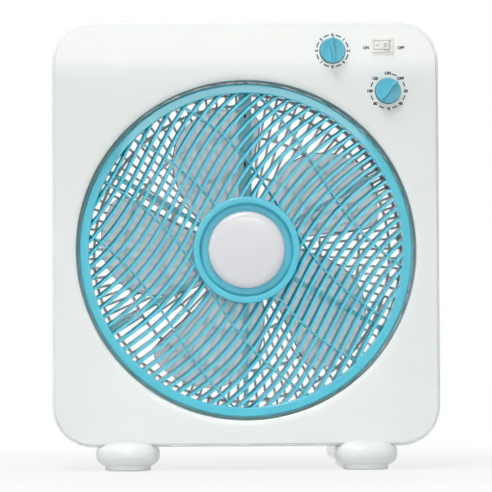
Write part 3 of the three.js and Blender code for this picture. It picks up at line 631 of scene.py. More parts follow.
def rear_grille():
    """The grille: a plate behind the motor, three rings, rows of bars between them and an outer flange."""
    low, high = GRILLE_FRONT_Y, GRILLE_REAR_Y
    parts = []
    starts = (GRILLE_PLATE, *GRILLE_RINGS[:2])
    ends = (*GRILLE_RINGS[:2], GRILLE_OUTER - GRILLE_OUTER_BITE)
    for inner, outer, count in zip(starts, ends, GRILLE_COUNTS):
        for number in range(count):
            angle = tau * (number + 0.5) / count
            parts.append(grille_bar(inner - GRILLE_BITE, outer + GRILLE_OVERLAP, angle))
    for radius in GRILLE_RINGS:
        inner, outer, front = radius - GRILLE_RING_HALF, radius + GRILLE_RING_HALF, low - GRILLE_RING_PROUD
        corners = ((inner, front), (outer, front), (outer, high), (inner, high))
        section = filleted([(a, b, GRILLE_RING_ROUND) for a, b in corners], steps=2)
        parts.append(lathe(section, TURNED_STEPS))
    plate = GRILLE_PLATE + GRILLE_BITE
    parts.append(lathe([
        (NEAR_AXIS, low), (plate, low), (plate, high - GRILLE_PLATE_CHAMFER),
        (plate - GRILLE_PLATE_CHAMFER, high), (NEAR_AXIS, high),
    ], steps=96))
    flange = GRILLE_OPENING - GRILLE_OVERLAP
    corners = [(flange, low), (GRILLE_OUTER, low), (GRILLE_OUTER, high), (flange, high)]
    parts.append(lathe(corners, TURNED_STEPS))
    piece("grille", parts, GRILLE_WHITE, "housing", ("rear_grille",))


# Louvre wheel

RING_WIDTH = 9
RING_FALL = 0.5
RING_INNER = WHEEL_RADIUS - RING_WIDTH
RING_FRONT_Y = FRONT_Y + 8
RING_REAR_Y = WHEEL_HIGH[1]
WHEEL_DOME = 5
HUB_RADIUS = 53.3
HUB_INNER = HUB_RADIUS - 6.3
HUB_BACK = HUB_RADIUS - 2.4
HUB_BORE = 3.8
HUB_BOSS = 9
HUB_FRONT_Y = WHEEL_LOW[1]
HUB_FLOOR_Y = HUB_FRONT_Y + 8
WEB_FRONT_Y = RING_FRONT_Y + 1.2
WEB_DEPTH = 12
HUB_REAR_Y = WEB_FRONT_Y + WEB_DEPTH - WHEEL_DOME
# (radius, y, rounding) corners of the ring, and of the hub with its recess and boss
RING_SECTION = (
    (RING_INNER, RING_REAR_Y, 0.5), (RING_INNER, RING_FRONT_Y, 1.2),
    (WHEEL_RADIUS, RING_FRONT_Y + RING_FALL, 1.6), (WHEEL_RADIUS, RING_REAR_Y, 0.5),
)
HUB_SECTION = (
    (HUB_BORE, HUB_FLOOR_Y, 0), (HUB_INNER - 1.5, HUB_FLOOR_Y, 2.0), (HUB_INNER, HUB_FRONT_Y, 1.6),
    (HUB_RADIUS, HUB_FRONT_Y, 1.8), (HUB_RADIUS, HUB_REAR_Y, 0.4), (HUB_BACK, HUB_REAR_Y, 0.4),
    (HUB_BACK, HUB_FLOOR_Y + 2.5, 1), (HUB_BOSS, HUB_FLOOR_Y + 2.5, 1),
    (HUB_BOSS, HUB_FLOOR_Y + 9, 0.4), (HUB_BORE, HUB_FLOOR_Y + 9, 0.4),
)
LOUVRE_PITCH = 9.73
LOUVRE_SHIFT = -0.7
LOUVRE_COUNT = 17
LOUVRE_WAVE = 15
LOUVRE_WAVE_LENGTH = 355
LOUVRE_TURN = radians(48)
RIB_COUNT = 2
RIB_PITCH = 53.75
RIB_WAVE = 17
RIB_WAVE_LENGTH = 380
# Width in front and at the rear, lean from front to rear, and how far the front stands proud
LOUVRE_SECTION = (2.8, 1.4, 3.1, 0)
RIB_SECTION = (1.4, 1.0, 1.3, 0.25)
STRIP_STEP = 3.0
STRIP_SLANT = 0.7
STRIP_ROUND_SHARE = 1.1
STRIP_FRONT_ROUND = 0.45
STRIP_REAR_ROUND = 0.25
BORDER_TRIES = 20
HUB_BITE = 1.2
RING_BITE = 2.5


def wheel_point(u, v):
    """A point of the wheel from its place along and across the louvres."""
    return Vector((
        u * cos(LOUVRE_TURN) + v * sin(LOUVRE_TURN),
        u * sin(LOUVRE_TURN) - v * cos(LOUVRE_TURN),
    ))


def dome(radius):
    """How far the wheel's front swells forwards at a radius."""
    share = min(1.0, max(0.0, (radius - HUB_RADIUS) / (RING_INNER - HUB_RADIUS)))
    return WHEEL_DOME * (1 - share * share)


def louvre_point(u, offset, shift):
    """A point of a louvre, which runs along u in an S-curve."""
    return wheel_point(u, offset - LOUVRE_WAVE * sin(tau * u / LOUVRE_WAVE_LENGTH) + shift)


def rib_point(v, offset, shift):
    """A point of a rib, which runs along v in an S-curve."""
    return wheel_point(offset - RIB_WAVE * sin(tau * v / RIB_WAVE_LENGTH) + shift, v)


def stretches(radius_at):
    """The stretches of a strip between hub and ring, as lists of places along it."""
    low, high = HUB_RADIUS - HUB_BITE, RING_INNER + RING_BITE

    def inside(t):
        return low < radius_at(t) < high

    def border(a, b):
        for _ in range(BORDER_TRIES):
            middle = (a + b) / 2
            if inside(middle) == inside(a):
                a = middle
            else:
                b = middle
        return (a + b) / 2

    runs = []
    run = None
    steps = int(WHEEL_RADIUS * 2 / STRIP_STEP)
    places = [-WHEEL_RADIUS + STRIP_STEP * step for step in range(steps + 2)]
    for before, here in zip(places, places[1:]):
        if inside(here) and run is None:
            run = [border(before, here), here]
        elif inside(here):
            run.append(here)
        elif run is not None:
            run.append(border(before, here))
            runs.append(run)
            run = None
    return [run for run in runs if run[-1] - run[0] > STRIP_STEP * 2]


def strip(run, place, front, rear, lean, proud):
    """A leaning strip of the web along one stretch; place(t, shift) gives its points."""
    section = filleted([
        (-front / 2, STRIP_SLANT - proud, STRIP_ROUND_SHARE * front / 2),
        (front / 2, -proud, STRIP_FRONT_ROUND),
        (rear / 2 - lean, WEB_DEPTH, STRIP_REAR_ROUND),
        (-rear / 2 - lean, WEB_DEPTH, STRIP_REAR_ROUND),
    ], steps=3)
    loops = []
    for t in run:
        loop = []
        for p in section:
            point = place(t, p.x)
            y = WEB_FRONT_Y + p.y - dome(place(t, 0).length)
            loop.append(Vector((point.x, y, point.y + AXIS_Z)))
        loops.append(loop)
    return skin(loops, caps=True)


def web(name, offsets, point, section):
    """All the strips of one kind, one at each offset, wherever they lie between hub and ring."""
    parts = []
    for offset in offsets:
        def place(t, shift, offset=offset):
            return point(t, offset, shift)

        for run in stretches(lambda t, place=place: place(t, 0).length):
            parts.append(strip(run, place, *section))
    piece(name, parts, BLUE, "louvres", ("louvre_wheel",))


def louvres_and_ribs():
    """The wheel's leaning louvres and the ribs that cross them."""
    offsets = [LOUVRE_SHIFT + row * LOUVRE_PITCH for row in range(-LOUVRE_COUNT, LOUVRE_COUNT + 1)]
    web("louvres", offsets, louvre_point, LOUVRE_SECTION)
    offsets = [row * RIB_PITCH for row in range(-RIB_COUNT, RIB_COUNT + 1)]
    web("ribs", offsets, rib_point, RIB_SECTION)


def ring_and_hub():
    """The wheel's outer ring, and its hub with a recess for the cap and a boss behind."""
    for name, section, steps in (("wheel_ring", RING_SECTION, 256), ("wheel_hub", HUB_SECTION, TURNED_STEPS)):
        profile = filleted(section, ROUND_STEPS)
        piece(name, [lathe(profile, steps)], BLUE, "louvres", ("louvre_wheel",))


CAP_ROUND = 8
CAP_FALL = 5.5
CAP_RISE = 1.0
CAP_WALL = 2
CAP_CAD_SIDES = 18
CAP_FACE_STEPS = 12
CAP_EDGE_STEPS = 16


def hub_cap():
    """The domed cap: full in the middle and turned down at its rim."""
    low, high = mm_box("hub_cap")
    radius = (high[0] - low[0]) / 2 / cos(pi / CAP_CAD_SIDES)
    front = low[1]
    face = radius - CAP_ROUND
    profile = []
    for share in (step / CAP_FACE_STEPS for step in range(CAP_FACE_STEPS)):
        profile.append((max(NEAR_AXIS, face * share), front + CAP_RISE * share ** 2))
    slope = atan(2 * CAP_RISE / face)
    for step in range(CAP_EDGE_STEPS + 1):
        angle = slope + (pi / 2 - slope) * step / CAP_EDGE_STEPS
        profile.append((
            face + CAP_ROUND * (sin(angle) - sin(slope)) / (1 - sin(slope)),
            front + CAP_RISE + CAP_FALL * (cos(slope) - cos(angle)) / cos(slope),
        ))
    inner = radius - CAP_WALL
    profile += [
        (radius, high[1]), (inner, high[1]), (inner, front + CAP_RISE + CAP_FALL),
        (NEAR_AXIS, front + CAP_WALL),
    ]
    piece("cap", [lathe(profile, TURNED_STEPS)], CAP_WHITE, "louvres", ("hub_cap",))


# Blades

BLADE_COUNT = 5
BLADE_ROOT = 34.8
ROTOR_RADIUS = 147
BLADE_THICKNESS = 1.5
BLADE_TWIST = 24
BLADE_CAMBER = 3.5
BLADE_INSET = 2
# Share of the reach, and where the front and rear edge lie there, as shares of a turn
BLADE_ROW_SHARES = [
    (0.0, 0.215, 0.040), (0.18, 0.205, 0.038), (0.35, 0.193, 0.036), (0.65, 0.168, 0.030),
    (0.84, 0.142, 0.029), (0.94, 0.119, 0.036), (0.985, 0.099, 0.050), (1.0, 0.076, 0.074),
]
BLADE_ROWS = 44
BLADE_COLUMN_SHARES = [
    0, 0.008, 0.02, 0.08, 0.16, 0.26, 0.38, 0.5, 0.62, 0.74, 0.84, 0.92, 0.98, 0.992, 1,
]
BLADE_RIM_SHARE = 0.01
BLADE_RIM_ROWS = 4
CUP_RADIUS = 37
CUP_WALL = 2.6
CUP_INNER = CUP_RADIUS - CUP_WALL
CUP_FLOOR_Y = ROTOR_FRONT_Y + CUP_WALL
CUP_BORE = 4.4
CUP_BOSS = 8
CUP_BOSS_REAR_Y = ROTOR_REAR_Y - 3
# (radius, y, rounding) corners of the cup
CUP_SECTION = (
    (CUP_BORE, ROTOR_FRONT_Y, 0), (CUP_RADIUS, ROTOR_FRONT_Y, 3), (CUP_RADIUS, ROTOR_REAR_Y, 0.4),
    (CUP_INNER, ROTOR_REAR_Y, 0.4), (CUP_INNER, CUP_FLOOR_Y, 1), (CUP_BOSS, CUP_FLOOR_Y, 1),
    (CUP_BOSS, CUP_BOSS_REAR_Y, 0.5), (CUP_BORE, CUP_BOSS_REAR_Y, 0),
)


def smooth_row(place):
    """A row of the blade's table at a place between its rows, on a Catmull-Rom curve."""
    last = len(BLADE_ROW_SHARES) - 1
    index = min(int(place), last - 1)
    t = place - index
    picked = [BLADE_ROW_SHARES[min(last, max(0, index + step))] for step in (-1, 0, 1, 2)]
    return [
        0.5 * (2 * b + (c - a) * t + (2 * a - 5 * b + 4 * c - d) * t * t + (3 * b - a - 3 * c + d) * t ** 3)
        for a, b, c, d in zip(*picked)
    ]


def blade(turn):
    """One blade as a closed shell, with how near each point is to its edge."""
    low = ROTOR_FRONT_Y + BLADE_INSET
    last = len(BLADE_ROW_SHARES) - 1
    loops = []
    flags = []
    for row in range(BLADE_ROWS + 1):
        reach, front, rear = smooth_row(last * row / BLADE_ROWS)
        radius = BLADE_ROOT + (ROTOR_RADIUS - BLADE_ROOT) * min(reach, 1)
        skins = ([], [])
        rims = []
        for share in BLADE_COLUMN_SHARES:
            angle = (turn + front + (rear - front) * share) * tau
            x, z = radius * cos(angle), AXIS_Z + radius * sin(angle)
            y = low + BLADE_TWIST * share - BLADE_CAMBER * 4 * share * share * (1 - share)
            for side, offset in enumerate((0, BLADE_THICKNESS)):
                skins[side].append(Vector((x, y + offset, z)))
            at_rim = min(share, 1 - share) < BLADE_RIM_SHARE or row > BLADE_ROWS - BLADE_RIM_ROWS
            rims.append(1.0 if at_rim else 0.0)
        loops.append([*skins[0], *reversed(skins[1])])
        flags += [*rims, *reversed(rims)]
    return skin(loops, caps=True), flags


def fan_blades():
    """The blades and the cup that carries them."""
    parts = []
    flags = []
    for number in range(BLADE_COUNT):
        part, own = blade(number / BLADE_COUNT)
        parts.append(part)
        flags += own
    piece("blades", parts, BLADE, "rotor", ("fan_rotor",), ROUND_ANGLE, flags)
    cup = lathe(filleted(CUP_SECTION, ROUND_STEPS), steps=128)
    piece("blade_cup", [cup], BLADE, "rotor", ("fan_rotor",))


# Dials, switch and their prints

KNOB_RADIUS = 12.5
SHADE_RING_RADIUS = 13.1
KNOB_SEAT = 0.8
KNOB_BASE = 5.6
KNOB_DISH = 0.7
KNOB_UNDERCUT = 1
KNOB_STEPS = 144
KNOB_TURN = radians(45)
RIDGE_TOP = 11.6
RIDGE_FALL = 1.6
RIDGE_FALL_ABOVE = KNOB_BASE + 2
RIDGE_HALF = 1.75
RIDGE_NARROWING = 0.1
RIDGE_BLUNTNESS = 9
RIDGE_SWAY = 1.05
RIDGE_OVERHANG = 0.7
RIDGE_SHORT = 0.6
RIDGE_STEPS = 40
# Shares of the dish's radius, (inset, fall) pairs over the edge and (inset, height) pairs up the sides
DISH_SHARES = (0.25, 0.4, 0.55, 0.7)
KNOB_EDGE = ((2.2, KNOB_DISH * 0.25), (1.1, 0), (0.55, 0.05), (0.2, 0.35), (0, 0.9))
SHADE_RING_SIDE = ((0, 0), (0, KNOB_SEAT - 0.25), (0.2, KNOB_SEAT - 0.05))
RIDGE_SIDE = (
    (-0.5, KNOB_BASE - 1.2), (-0.45, KNOB_BASE - 0.4), (-0.1, KNOB_BASE + 0.35), (0.0, KNOB_BASE + 1.2),
    (0.0, RIDGE_TOP - 0.7), (0.1, RIDGE_TOP - 0.3), (0.35, RIDGE_TOP - 0.06), (0.7, RIDGE_TOP),
)


def ridge_loop(inset, height):
    """The outline of the knob's S-shaped grip at one height, as (x, z, height) points."""
    tip = KNOB_RADIUS + RIDGE_OVERHANG - inset
    tail = -KNOB_RADIUS + RIDGE_SHORT + inset
    right, left = [], []
    for step in range(RIDGE_STEPS + 1):
        share = (1 - cos(pi * step / RIDGE_STEPS)) / 2
        z = tail + (tip - tail) * share
        sway = -RIDGE_SWAY * sin(pi * z / KNOB_RADIUS)
        bluntness = max(0.0, 1 - abs(2 * share - 1) ** RIDGE_BLUNTNESS) ** 0.5
        half = (RIDGE_HALF - inset) * (1 - RIDGE_NARROWING * z / KNOB_RADIUS) * bluntness
        drop = RIDGE_FALL * (1 - share) if height > RIDGE_FALL_ABOVE else 0
        right.append((sway + half, z, height - drop))
        left.append((sway - half, z, height - drop))
    return right + left[-2:0:-1]


def dial_knob(name, node, body, turn):
    """A knob over its CAD node, turned clockwise from its upright place, with a black ring round its foot as
    painted shadow.
    """
    low, high = mm_box(node)
    centre = centre_of(low, high)
    cos_turn, sin_turn = cos(turn), sin(turn)

    def placed(x, z, height):
        return centre + Vector((x * cos_turn + z * sin_turn, high[1] - height, z * cos_turn - x * sin_turn))

    def ring(radius, height):
        return [placed(radius * cos(a), radius * sin(a), height) for a in around(KNOB_STEPS)]

    rings = [ring(KNOB_RADIUS * share, KNOB_BASE - KNOB_DISH * (1 - share ** 2)) for share in DISH_SHARES]
    rings += [ring(KNOB_RADIUS - inset, KNOB_BASE - fall) for inset, fall in KNOB_EDGE]
    rings += [ring(KNOB_RADIUS - inset, KNOB_SEAT) for inset in (0, KNOB_UNDERCUT)]
    # Painted shadow: a black ring just wider than the knob stands in for the shade in the gap between knob
    # and panel.
    shade_ring = [ring(SHADE_RING_RADIUS - inset, height) for inset, height in SHADE_RING_SIDE]
    ridge = [[placed(*point) for point in ridge_loop(inset, height)] for inset, height in RIDGE_SIDE]
    piece(f"{name}_seat", [skin(shade_ring, caps=True)], BLACK, body, (node,))
    knob = [skin(rings, caps=True), skin(ridge, caps=True)]
    piece(name, knob, KNOB_BLUE, body, (node,), ROUND_ANGLE)
    return centre


PRINT_THICKNESS = 0.05
PRINT_GAP = 0.02
LABEL_SIZE = 4.0
LABEL_BOLD = 0.06
WORD_BOLD = 0.05
WORD_STRETCH = 0.95
WORD_FALL = 2.3
WORDS = (("ON", -16.6), ("OFF", 18.7))
DASH_THICKNESS = 1.15
DASH_STEPS = 8
SPEED_LABELS = ["0", "1", "2", "3", "0", "1", "2", "3"]
SPEED_PRINT_RADIUS = 16.1
SPEED_DASH_WIDTH = radians(20)
TIMER_LABELS = ["ON", "OFF", "20", "40", "60", "80", "100", "120"]
TIMER_PRINT_RADIUS = 17.9
TIMER_DASH_INSET = 0.4
TIMER_DASH_WIDTH = radians(17)


def clockwise(turn):
    """The way from a dial's axis at an angle clockwise from the top."""
    return Vector((sin(turn), 0, cos(turn)))


def flat_text(text, centre, turn=0.0, stretch=1.0, bold=LABEL_BOLD):
    """The outline of a short text as (points, faces), centred and turned clockwise."""
    curve = bpy.data.curves.new("text", "FONT")
    curve.body = text
    curve.size = LABEL_SIZE
    curve.align_x = "CENTER"
    curve.align_y = "CENTER"
    curve.offset = LABEL_SIZE * bold
    holder = added("text", curve)
    bpy.context.view_layer.update()
    mesh = bpy.data.meshes.new_from_object(holder.evaluated_get(bpy.context.evaluated_depsgraph_get()))
    xs = [v.co.x for v in mesh.vertices]
    ys = [v.co.y for v in mesh.vertices]
    middle = Vector(((max(xs) + min(xs)) / 2, (max(ys) + min(ys)) / 2))
    across, up = clockwise(turn + pi / 2) * stretch, clockwise(turn)
    points = [centre + across * (v.co.x - middle.x) + up * (v.co.y - middle.y) for v in mesh.vertices]
    faces = [tuple(p.vertices) for p in mesh.polygons]
    bpy.data.objects.remove(holder)
    return points, faces


def raised(flat, y, thickness):
    """A flat part given a thickness, its front at a depth."""
    points, faces = flat
    count = len(points)
    front = [Vector((p.x, y, p.z)) for p in points]
    back = [Vector((p.x, y + thickness, p.z)) for p in points]
    edges = {}
    for face in faces:
        for a, b in zip(face, face[1:] + face[:1]):
            edges[(a, b)] = True
    walls = [(a, b, b + count, a + count) for a, b in edges if (b, a) not in edges]
    return front + back, [*faces, *(tuple(i + count for i in reversed(face)) for face in faces), *walls]


def dash(centre, radius, middle, width):
    """A short arc of a dial's print, as (points, faces)."""
    ways = [clockwise(middle + width * (step / DASH_STEPS - 0.5)) for step in range(DASH_STEPS + 1)]
    edges = (radius - DASH_THICKNESS / 2, radius + DASH_THICKNESS / 2)
    points = [centre + way * edge for edge in edges for way in ways]
    faces = [(i, i + 1, i + DASH_STEPS + 2, i + DASH_STEPS + 1) for i in range(DASH_STEPS)]
    return points, faces


def dial_print(centre, labels, radius, turned, dash_inset, dash_width, dashes):
    """A dial's labels, turned with their places or upright, and the dashes between them."""
    flats = []
    for number, label in enumerate(labels):
        turn = tau * number / len(labels)
        flats.append(flat_text(label, centre + clockwise(turn) * radius, turn if turned else 0.0))
        if number < dashes:
            flats.append(dash(centre, radius - dash_inset, turn + pi / len(labels), dash_width))
    return flats


def prints(speed_centre, timer_centre, rocker_centre):
    """The numbers and dashes round the dials and the words beside the switch."""
    flats = dial_print(
        speed_centre, SPEED_LABELS, SPEED_PRINT_RADIUS, True, 0, SPEED_DASH_WIDTH, len(SPEED_LABELS),
    )
    flats += dial_print(
        timer_centre, TIMER_LABELS, TIMER_PRINT_RADIUS, False, TIMER_DASH_INSET, TIMER_DASH_WIDTH,
        len(TIMER_LABELS) - 1,
    )
    for word, across in WORDS:
        place = rocker_centre + Vector((across, 0, -WORD_FALL))
        flats.append(flat_text(word, place, stretch=WORD_STRETCH, bold=WORD_BOLD))
    y = FRONT_Y - PRINT_GAP - PRINT_THICKNESS
    piece("prints", [raised(flat, y, PRINT_THICKNESS) for flat in flats], INK, "housing")


SWITCH_BODY = (19.8, 12.6)
SWITCH_BODY_DEPTH = 17
SWITCH_WELL = (17, 8.9)
SWITCH_WELL_DEPTH = 13
SWITCH_ROUND = 0.8
BEZEL_CORNER = 1.2
TERMINAL_PITCH = 6.6
TERMINAL_SIZE = (0.8, 4.8)
TERMINAL_ROUND = 0.2
TERMINAL_START = 16.5
# (inset, depth, corner radius) rows over the bezel's front edge
BEZEL_EDGE = ((0, 0.5, BEZEL_CORNER), (0.15, 0.15, 1.1), (0.5, 0, 1.0))
ROCKER_TILT = radians(12)
KEY_PIVOT_DEPTH = 4
KEY_HALF = 7.5
KEY_CREST = 4
KEY_FALL = 1.5
KEY_REACH = 8.0
KEY_FRONT = -2
KEY_SINK_SHARE = 0.4
# (x, y, radius) corners of the key's section round its pivot, and (inset, z) pairs across it
KEY_SECTION = (
    (-KEY_HALF, -KEY_CREST - KEY_FALL, 0.9), (0, -KEY_CREST, 9), (KEY_HALF, -KEY_CREST - KEY_FALL, 1.5),
    (KEY_REACH, -1.6, 0.5), (3.6, 2, 0.5), (-3.6, 2, 0.5), (-KEY_REACH, -1.6, 0.5),
)
KEY_SIDES = ((0.5, -4.1), (0.12, -3.95), (0, -3.5), (0, 3.5), (0.12, 3.95), (0.5, 4.1))
SIGN_PLACE = 4.1
SIGN_PROUD = 0.03
SIGN_THICKNESS = 0.06
SIGN_DASH = ((-1.4, -0.28), (1.4, -0.28), (1.4, 0.28), (-1.4, 0.28))
SIGN_RING = (1.25, 1.75)


def rocker_switch():
    """The switch: body, bezel, well, terminals and the tilted key."""
    low, high = mm_box("rocker_housing")
    centre = centre_of(low, high)
    bezel = (high[0] - low[0], high[2] - low[2])
    front = low[1]
    panel = FRONT_Y - SEAT_GAP

    def level(size, grow, radius, y):
        outline = rounded_loop(size[0] + grow * 2, size[1] + grow * 2, radius, ARC_STEPS)
        return at_depth(outline, y, centre)

    loops = [level(SWITCH_BODY, 0, SWITCH_ROUND, y) for y in (front + SWITCH_BODY_DEPTH, panel)]
    loops.append(level(bezel, 0, BEZEL_CORNER, panel))
    loops += [level(bezel, -inset, radius, front + depth) for inset, depth, radius in BEZEL_EDGE]
    loops += [level(SWITCH_WELL, row[0], SWITCH_ROUND, front + row[1]) for row in reversed(BEZEL_EDGE)]
    loops.append(level(SWITCH_WELL, 0, SWITCH_ROUND, front + SWITCH_WELL_DEPTH))
    parts = [skin(loops, caps=True)]
    terminal = rounded_loop(*TERMINAL_SIZE, TERMINAL_ROUND, steps=1)
    for side in (-1, 0, 1):
        place = centre + Vector((side * TERMINAL_PITCH, 0, 0))
        ends = (front + TERMINAL_START, high[1])
        parts.append(skin([at_depth(terminal, y, place) for y in ends], caps=True))
    piece("rocker_bezel", parts, IVORY, "housing", ("rocker_housing",))
    pivot = Vector((centre.x, front + KEY_PIVOT_DEPTH, centre.z))
    turn = Matrix.Rotation(-ROCKER_TILT, 3, "Z")

    def keyed(x, y, z):
        return pivot + turn @ Vector((x, y, z))

    section = filleted(KEY_SECTION, ROUND_STEPS)
    loops = []
    for inset, z in KEY_SIDES:
        sink = inset * KEY_SINK_SHARE
        loops.append([
            keyed(p.x * (1 - inset / KEY_REACH), p.y + (sink if p.y < KEY_FRONT else 0), z) for p in section
        ])
    piece("rocker_key", [skin(loops, caps=True)], IVORY, "rocker_key", ("rocker",))
    return centre, keyed


def rocker_signs(keyed):
    """A dash and a ring just proud of the key's two slopes; keyed(x, y, z) gives the key's points."""
    def on_face(side, a, b):
        along = side * SIGN_PLACE + a
        return keyed(along, -KEY_CREST - abs(along) * KEY_FALL / KEY_HALF - SIGN_PROUD, b)

    def behind(loop):
        return [p + Vector((0, SIGN_THICKNESS, 0)) for p in loop]

    line = [on_face(-1, a, b) for a, b in SIGN_DASH]
    inner, outer = [
        [on_face(1, radius * cos(a), radius * sin(a)) for a in around(steps=32)]
        for radius in SIGN_RING
    ]
    parts = [
        skin([line, behind(line)], caps=True),
        skin([inner, outer, behind(outer), behind(inner)], wrap=True),
    ]
    piece("rocker_signs", parts, INK, "rocker_key")


# Feet

FOOT_SIDES = 64
FOOT_RINGS = 48
FOOT_WIDTH = 64
FOOT_HEIGHT = 30
FOOT_TOP_Z = 31.5
FOOT_END = 26
FOOT_SQUARENESS = 2.5
FOOT_LEAST_SIZE = 0.001
SOLE_WIDTH = 46
SOLE_LENGTH = 142
SOLE_RADIUS = 20
# (inset, z) pairs up the sole's side
SOLE_SIDE = ((1.6, 0), (0.8, 0.2), (0.2, 0.8), (0, 1.6), (0, 12))


def squared(value):
    """A cosine or sine of the foot's section, blunted."""
    return copysign(abs(value) ** (2 / FOOT_SQUARENESS), value)


def foot(node):
    """A pebble on a narrower sole, with the housing's shape cut out of its top."""
    low, high = mm_box(node)
    x = (low[0] + high[0]) / 2
    half = (high[1] - low[1]) / 2
    middle_y = (high[1] + low[1]) / 2
    middle_z = FOOT_TOP_Z - FOOT_HEIGHT / 2
    loops = []
    for ring in range(FOOT_RINGS + 1):
        angle = pi * (ring / FOOT_RINGS - 0.5)
        y = middle_y + copysign(half - FOOT_END * (1 - abs(sin(angle))), angle)
        size = max(FOOT_LEAST_SIZE, cos(angle))
        loops.append([
            Vector((
                x + FOOT_WIDTH / 2 * size * squared(cos(turn)), y,
                middle_z + FOOT_HEIGHT / 2 * size * squared(sin(turn)),
            ))
            for turn in around(FOOT_SIDES)
        ])
    pebble = piece(f"{node}_body", [skin(loops, caps=True)], WHITE, "housing", (node,))
    housing = [housing_loop(-SEAT_GAP, y) for y in (FRONT_Y - SEAT_GAP, REAR_Y + SEAT_GAP)]
    cut_by(pebble, [skin(housing, caps=True)])
    sole = []
    for inset, z in SOLE_SIDE:
        outline = rounded_loop(
            SOLE_WIDTH - inset * 2, SOLE_LENGTH - inset * 2, SOLE_RADIUS - inset, steps=10,
        )
        sole.append([Vector((x + p.x, middle_y + p.y, z)) for p in outline])
    piece(f"{node}_sole", [skin(sole, caps=True)], WHITE, "housing", (node,))


# Pieces that keep their CAD shape

CAD_MATERIALS = (
    (STEEL, "wheel_nut wheel_shaft wheel_motor motor_shaft front_bearing rear_bearing"),
    (STEEL, "speed_shaft timer_shaft"),
    (DARK_STEEL, "motor_front_cap motor_rear_cap motor_stator motor_armature"),
    (BLACK, "wheel_motor_lead rotor_nut speed_switch timer_works capacitor cord_gland"),
    (LIT_FRAME_BLUE, "wheel_motor_frame"),
)
EASED_EDGE = 0.4 * MM
EASED_SEGMENTS = 2
EASED_ANGLE = radians(40)


def finish_cad_nodes():
    """Gives each CAD node that stays its material and an eased edge."""
    for material, nodes in CAD_MATERIALS:
        for node in nodes.split():
            obj = frame["nodes"][node]
            obj.data.materials.clear()
            obj.data.materials.append(material)
            bevel = obj.modifiers.new("eased_edges", "BEVEL")
            bevel.width = EASED_EDGE
            bevel.segments = EASED_SEGMENTS
            bevel.limit_method = "ANGLE"
            bevel.angle_limit = EASED_ANGLE


# Stage, light and camera


def figured(tree, operation, first, second):
    """Two values put through one step of arithmetic."""
    return add_node(tree, "Math", {0: first, 1: second}, operation=operation).outputs[0]


def blended(tree, share, first, second, output):
    """One shader turned into another by a share, and put on the surface of an output."""
    mix = add_node(tree, "MixShader", {0: share, 1: first.outputs[0], 2: second.outputs[0]})
    tree.links.new(mix.outputs[0], tree.nodes[output].inputs["Surface"])


def seen_directly(tree):
    """1 where a ray from the camera, or one mirrored or passed on by the object, ends here."""
    path = add_node(tree, "LightPath", {}).outputs
    share = path["Is Camera Ray"]
    for kind in ("Is Glossy Ray", "Is Transmission Ray"):
        share = figured(tree, "MAXIMUM", share, path[kind])
    return share


FLOOR_SIZE = 18000
FLOOR_GREY = srgb(216, 216, 216)
# The floor's share of plain white grows between these distances from its middle
FADE_START, FADE_END = 0.15, 0.75
FADE_LOW, FADE_HIGH = 0.8, 1.0


def stage():
    """A pale floor that fades to white away from the fan and keeps a soft shadow under it."""
    material, tree, shader = new_material("floor")
    tone = ramp(
        tree, noise(tree, scale=3, detail=2), low=0.3, high=0.7,
        low_color=shade(FLOOR_GREY, 0.99), high_color=FLOOR_GREY,
    )
    tree.links.new(tone, shader.inputs["Base Color"])
    shader.inputs["Roughness"].default_value = 0.9
    shader.inputs["Specular IOR Level"].default_value = 0.0
    glow = add_node(tree, "Emission", {"Color": WHITE_STOP})
    place = add_node(tree, "TexCoord", {}).outputs["Object"]
    far = add_node(tree, "VectorMath", {0: place}, operation="LENGTH").outputs["Value"]
    away = add_node(tree, "MapRange", {
        "Value": far, "From Min": FADE_START, "From Max": FADE_END, "To Min": FADE_LOW, "To Max": FADE_HIGH,
    }, interpolation_type="SMOOTHSTEP")
    share = figured(tree, "MULTIPLY", seen_directly(tree), away.outputs["Result"])
    blended(tree, share, shader, glow, "Material Output")
    square = [Vector((p.x, p.y, 0)) for p in rounded_loop(FLOOR_SIZE, FLOOR_SIZE, 0)]
    floor = added("floor", make_mesh("floor", [(square, [tuple(range(len(square)))])]))
    floor.data.materials.append(material)


SURROUND_LEVEL = 0.27
SURROUND_SLOPE = (-0.15, 0.25, 0.5)
SURROUND_TINT = (0.95, 0.98, 1.0, 1)


def world():
    """A soft surround, brighter above and behind the fan, and plain white where it is seen directly."""
    surround = bpy.data.worlds.new("surround")
    bpy.context.scene.world = surround
    surround.use_nodes = True
    tree = surround.node_tree
    plain = tree.nodes["Background"]
    plain.inputs["Color"].default_value = SURROUND_TINT
    way = add_node(tree, "TexCoord", {}).outputs["Generated"]
    slope = add_node(tree, "VectorMath", {0: way, 1: SURROUND_SLOPE}, operation="DOT_PRODUCT")
    strength = figured(tree, "ADD", slope.outputs["Value"], SURROUND_LEVEL)
    tree.links.new(strength, plain.inputs["Strength"])
    white = add_node(tree, "Background", {"Color": WHITE_STOP, "Strength": 1.0})
    blended(tree, seen_directly(tree), plain, white, "World Output")


def area_light(name, place, target, size, power, color=(1, 1, 1), mirrored=True, spread=pi):
    """A soft rectangular lamp that faces a point, mirrored in glossy surfaces or not."""
    data = bpy.data.lights.new(name, "AREA")
    data.shape = "RECTANGLE"
    data.size, data.size_y = size
    data.energy = power
    data.spread = spread
    data.color = color
    lamp = added(name, data)
    lamp.location = place
    lamp.rotation_euler = (Vector(target) - Vector(place)).to_track_quat("-Z", "Y").to_euler()
    lamp.visible_glossy = mirrored


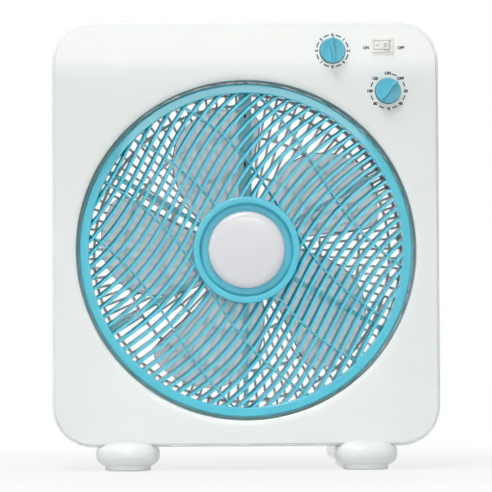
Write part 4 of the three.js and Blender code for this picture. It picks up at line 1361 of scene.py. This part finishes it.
CAMERA_DISTANCE = 2.75
CAMERA_AZIMUTH = radians(-2.3)
CAMERA_ELEVATION = radians(-2.0)
CAMERA_ROLL = radians(-0.26)
CAMERA_TARGET = Vector((-0.0006, FRONT_Y * MM, 0.2238))
CAMERA_SENSOR = 36
CAMERA_CLIP = (0.1, 40)
PHOTO_SPAN = 0.4916


def camera():
    """The photograph's view: almost square on, from a little to the left."""
    data = bpy.data.cameras.new("camera")
    data.sensor_width = CAMERA_SENSOR
    data.lens = data.sensor_width * CAMERA_DISTANCE / PHOTO_SPAN
    data.clip_start, data.clip_end = CAMERA_CLIP
    back = Vector((
        sin(CAMERA_AZIMUTH) * cos(CAMERA_ELEVATION),
        -cos(CAMERA_AZIMUTH) * cos(CAMERA_ELEVATION),
        sin(CAMERA_ELEVATION),
    ))
    view = added("camera", data)
    view.location = CAMERA_TARGET + back * CAMERA_DISTANCE
    turn = (-back).to_track_quat("-Z", "Y").to_matrix() @ Matrix.Rotation(CAMERA_ROLL, 3, "Z")
    view.rotation_euler = turn.to_euler()
    bpy.context.scene.camera = view


camera()
world()
stage()
area_light(
    "card", place=(0.105, -2.6, 0.907), target=(0.105, 0.0, 0.907), size=(0.9, 0.5), power=6.2,
    color=(1.0, 0.92, 0.84),
)
area_light(
    "fill", place=(-0.11, -2.95, 0.2), target=(0.0, 0.0, 0.03), size=(0.8, 0.4), power=0.56,
    mirrored=False, spread=radians(24),
)
area_light("key", place=(-0.35, -0.9, 2.1), target=(0.0, 0.0, 0.22), size=(0.6, 0.6), power=21)

front_panel()
rear_shell()
hand_grip()
screws()
rear_grille()
ring_and_hub()
louvres_and_ribs()
hub_cap()
fan_blades()
speed_centre = dial_knob("speed_dial_knob", "speed_knob", "speed_dial", 0)
timer_centre = dial_knob("timer_dial_knob", "timer_knob", "timer_dial", KNOB_TURN)
rocker_centre, on_key = rocker_switch()
rocker_signs(on_key)
prints(speed_centre, timer_centre, rocker_centre)
foot("foot_left")
foot("foot_right")
finish_cad_nodes()

bpy.context.scene.view_settings.view_transform = "Standard"
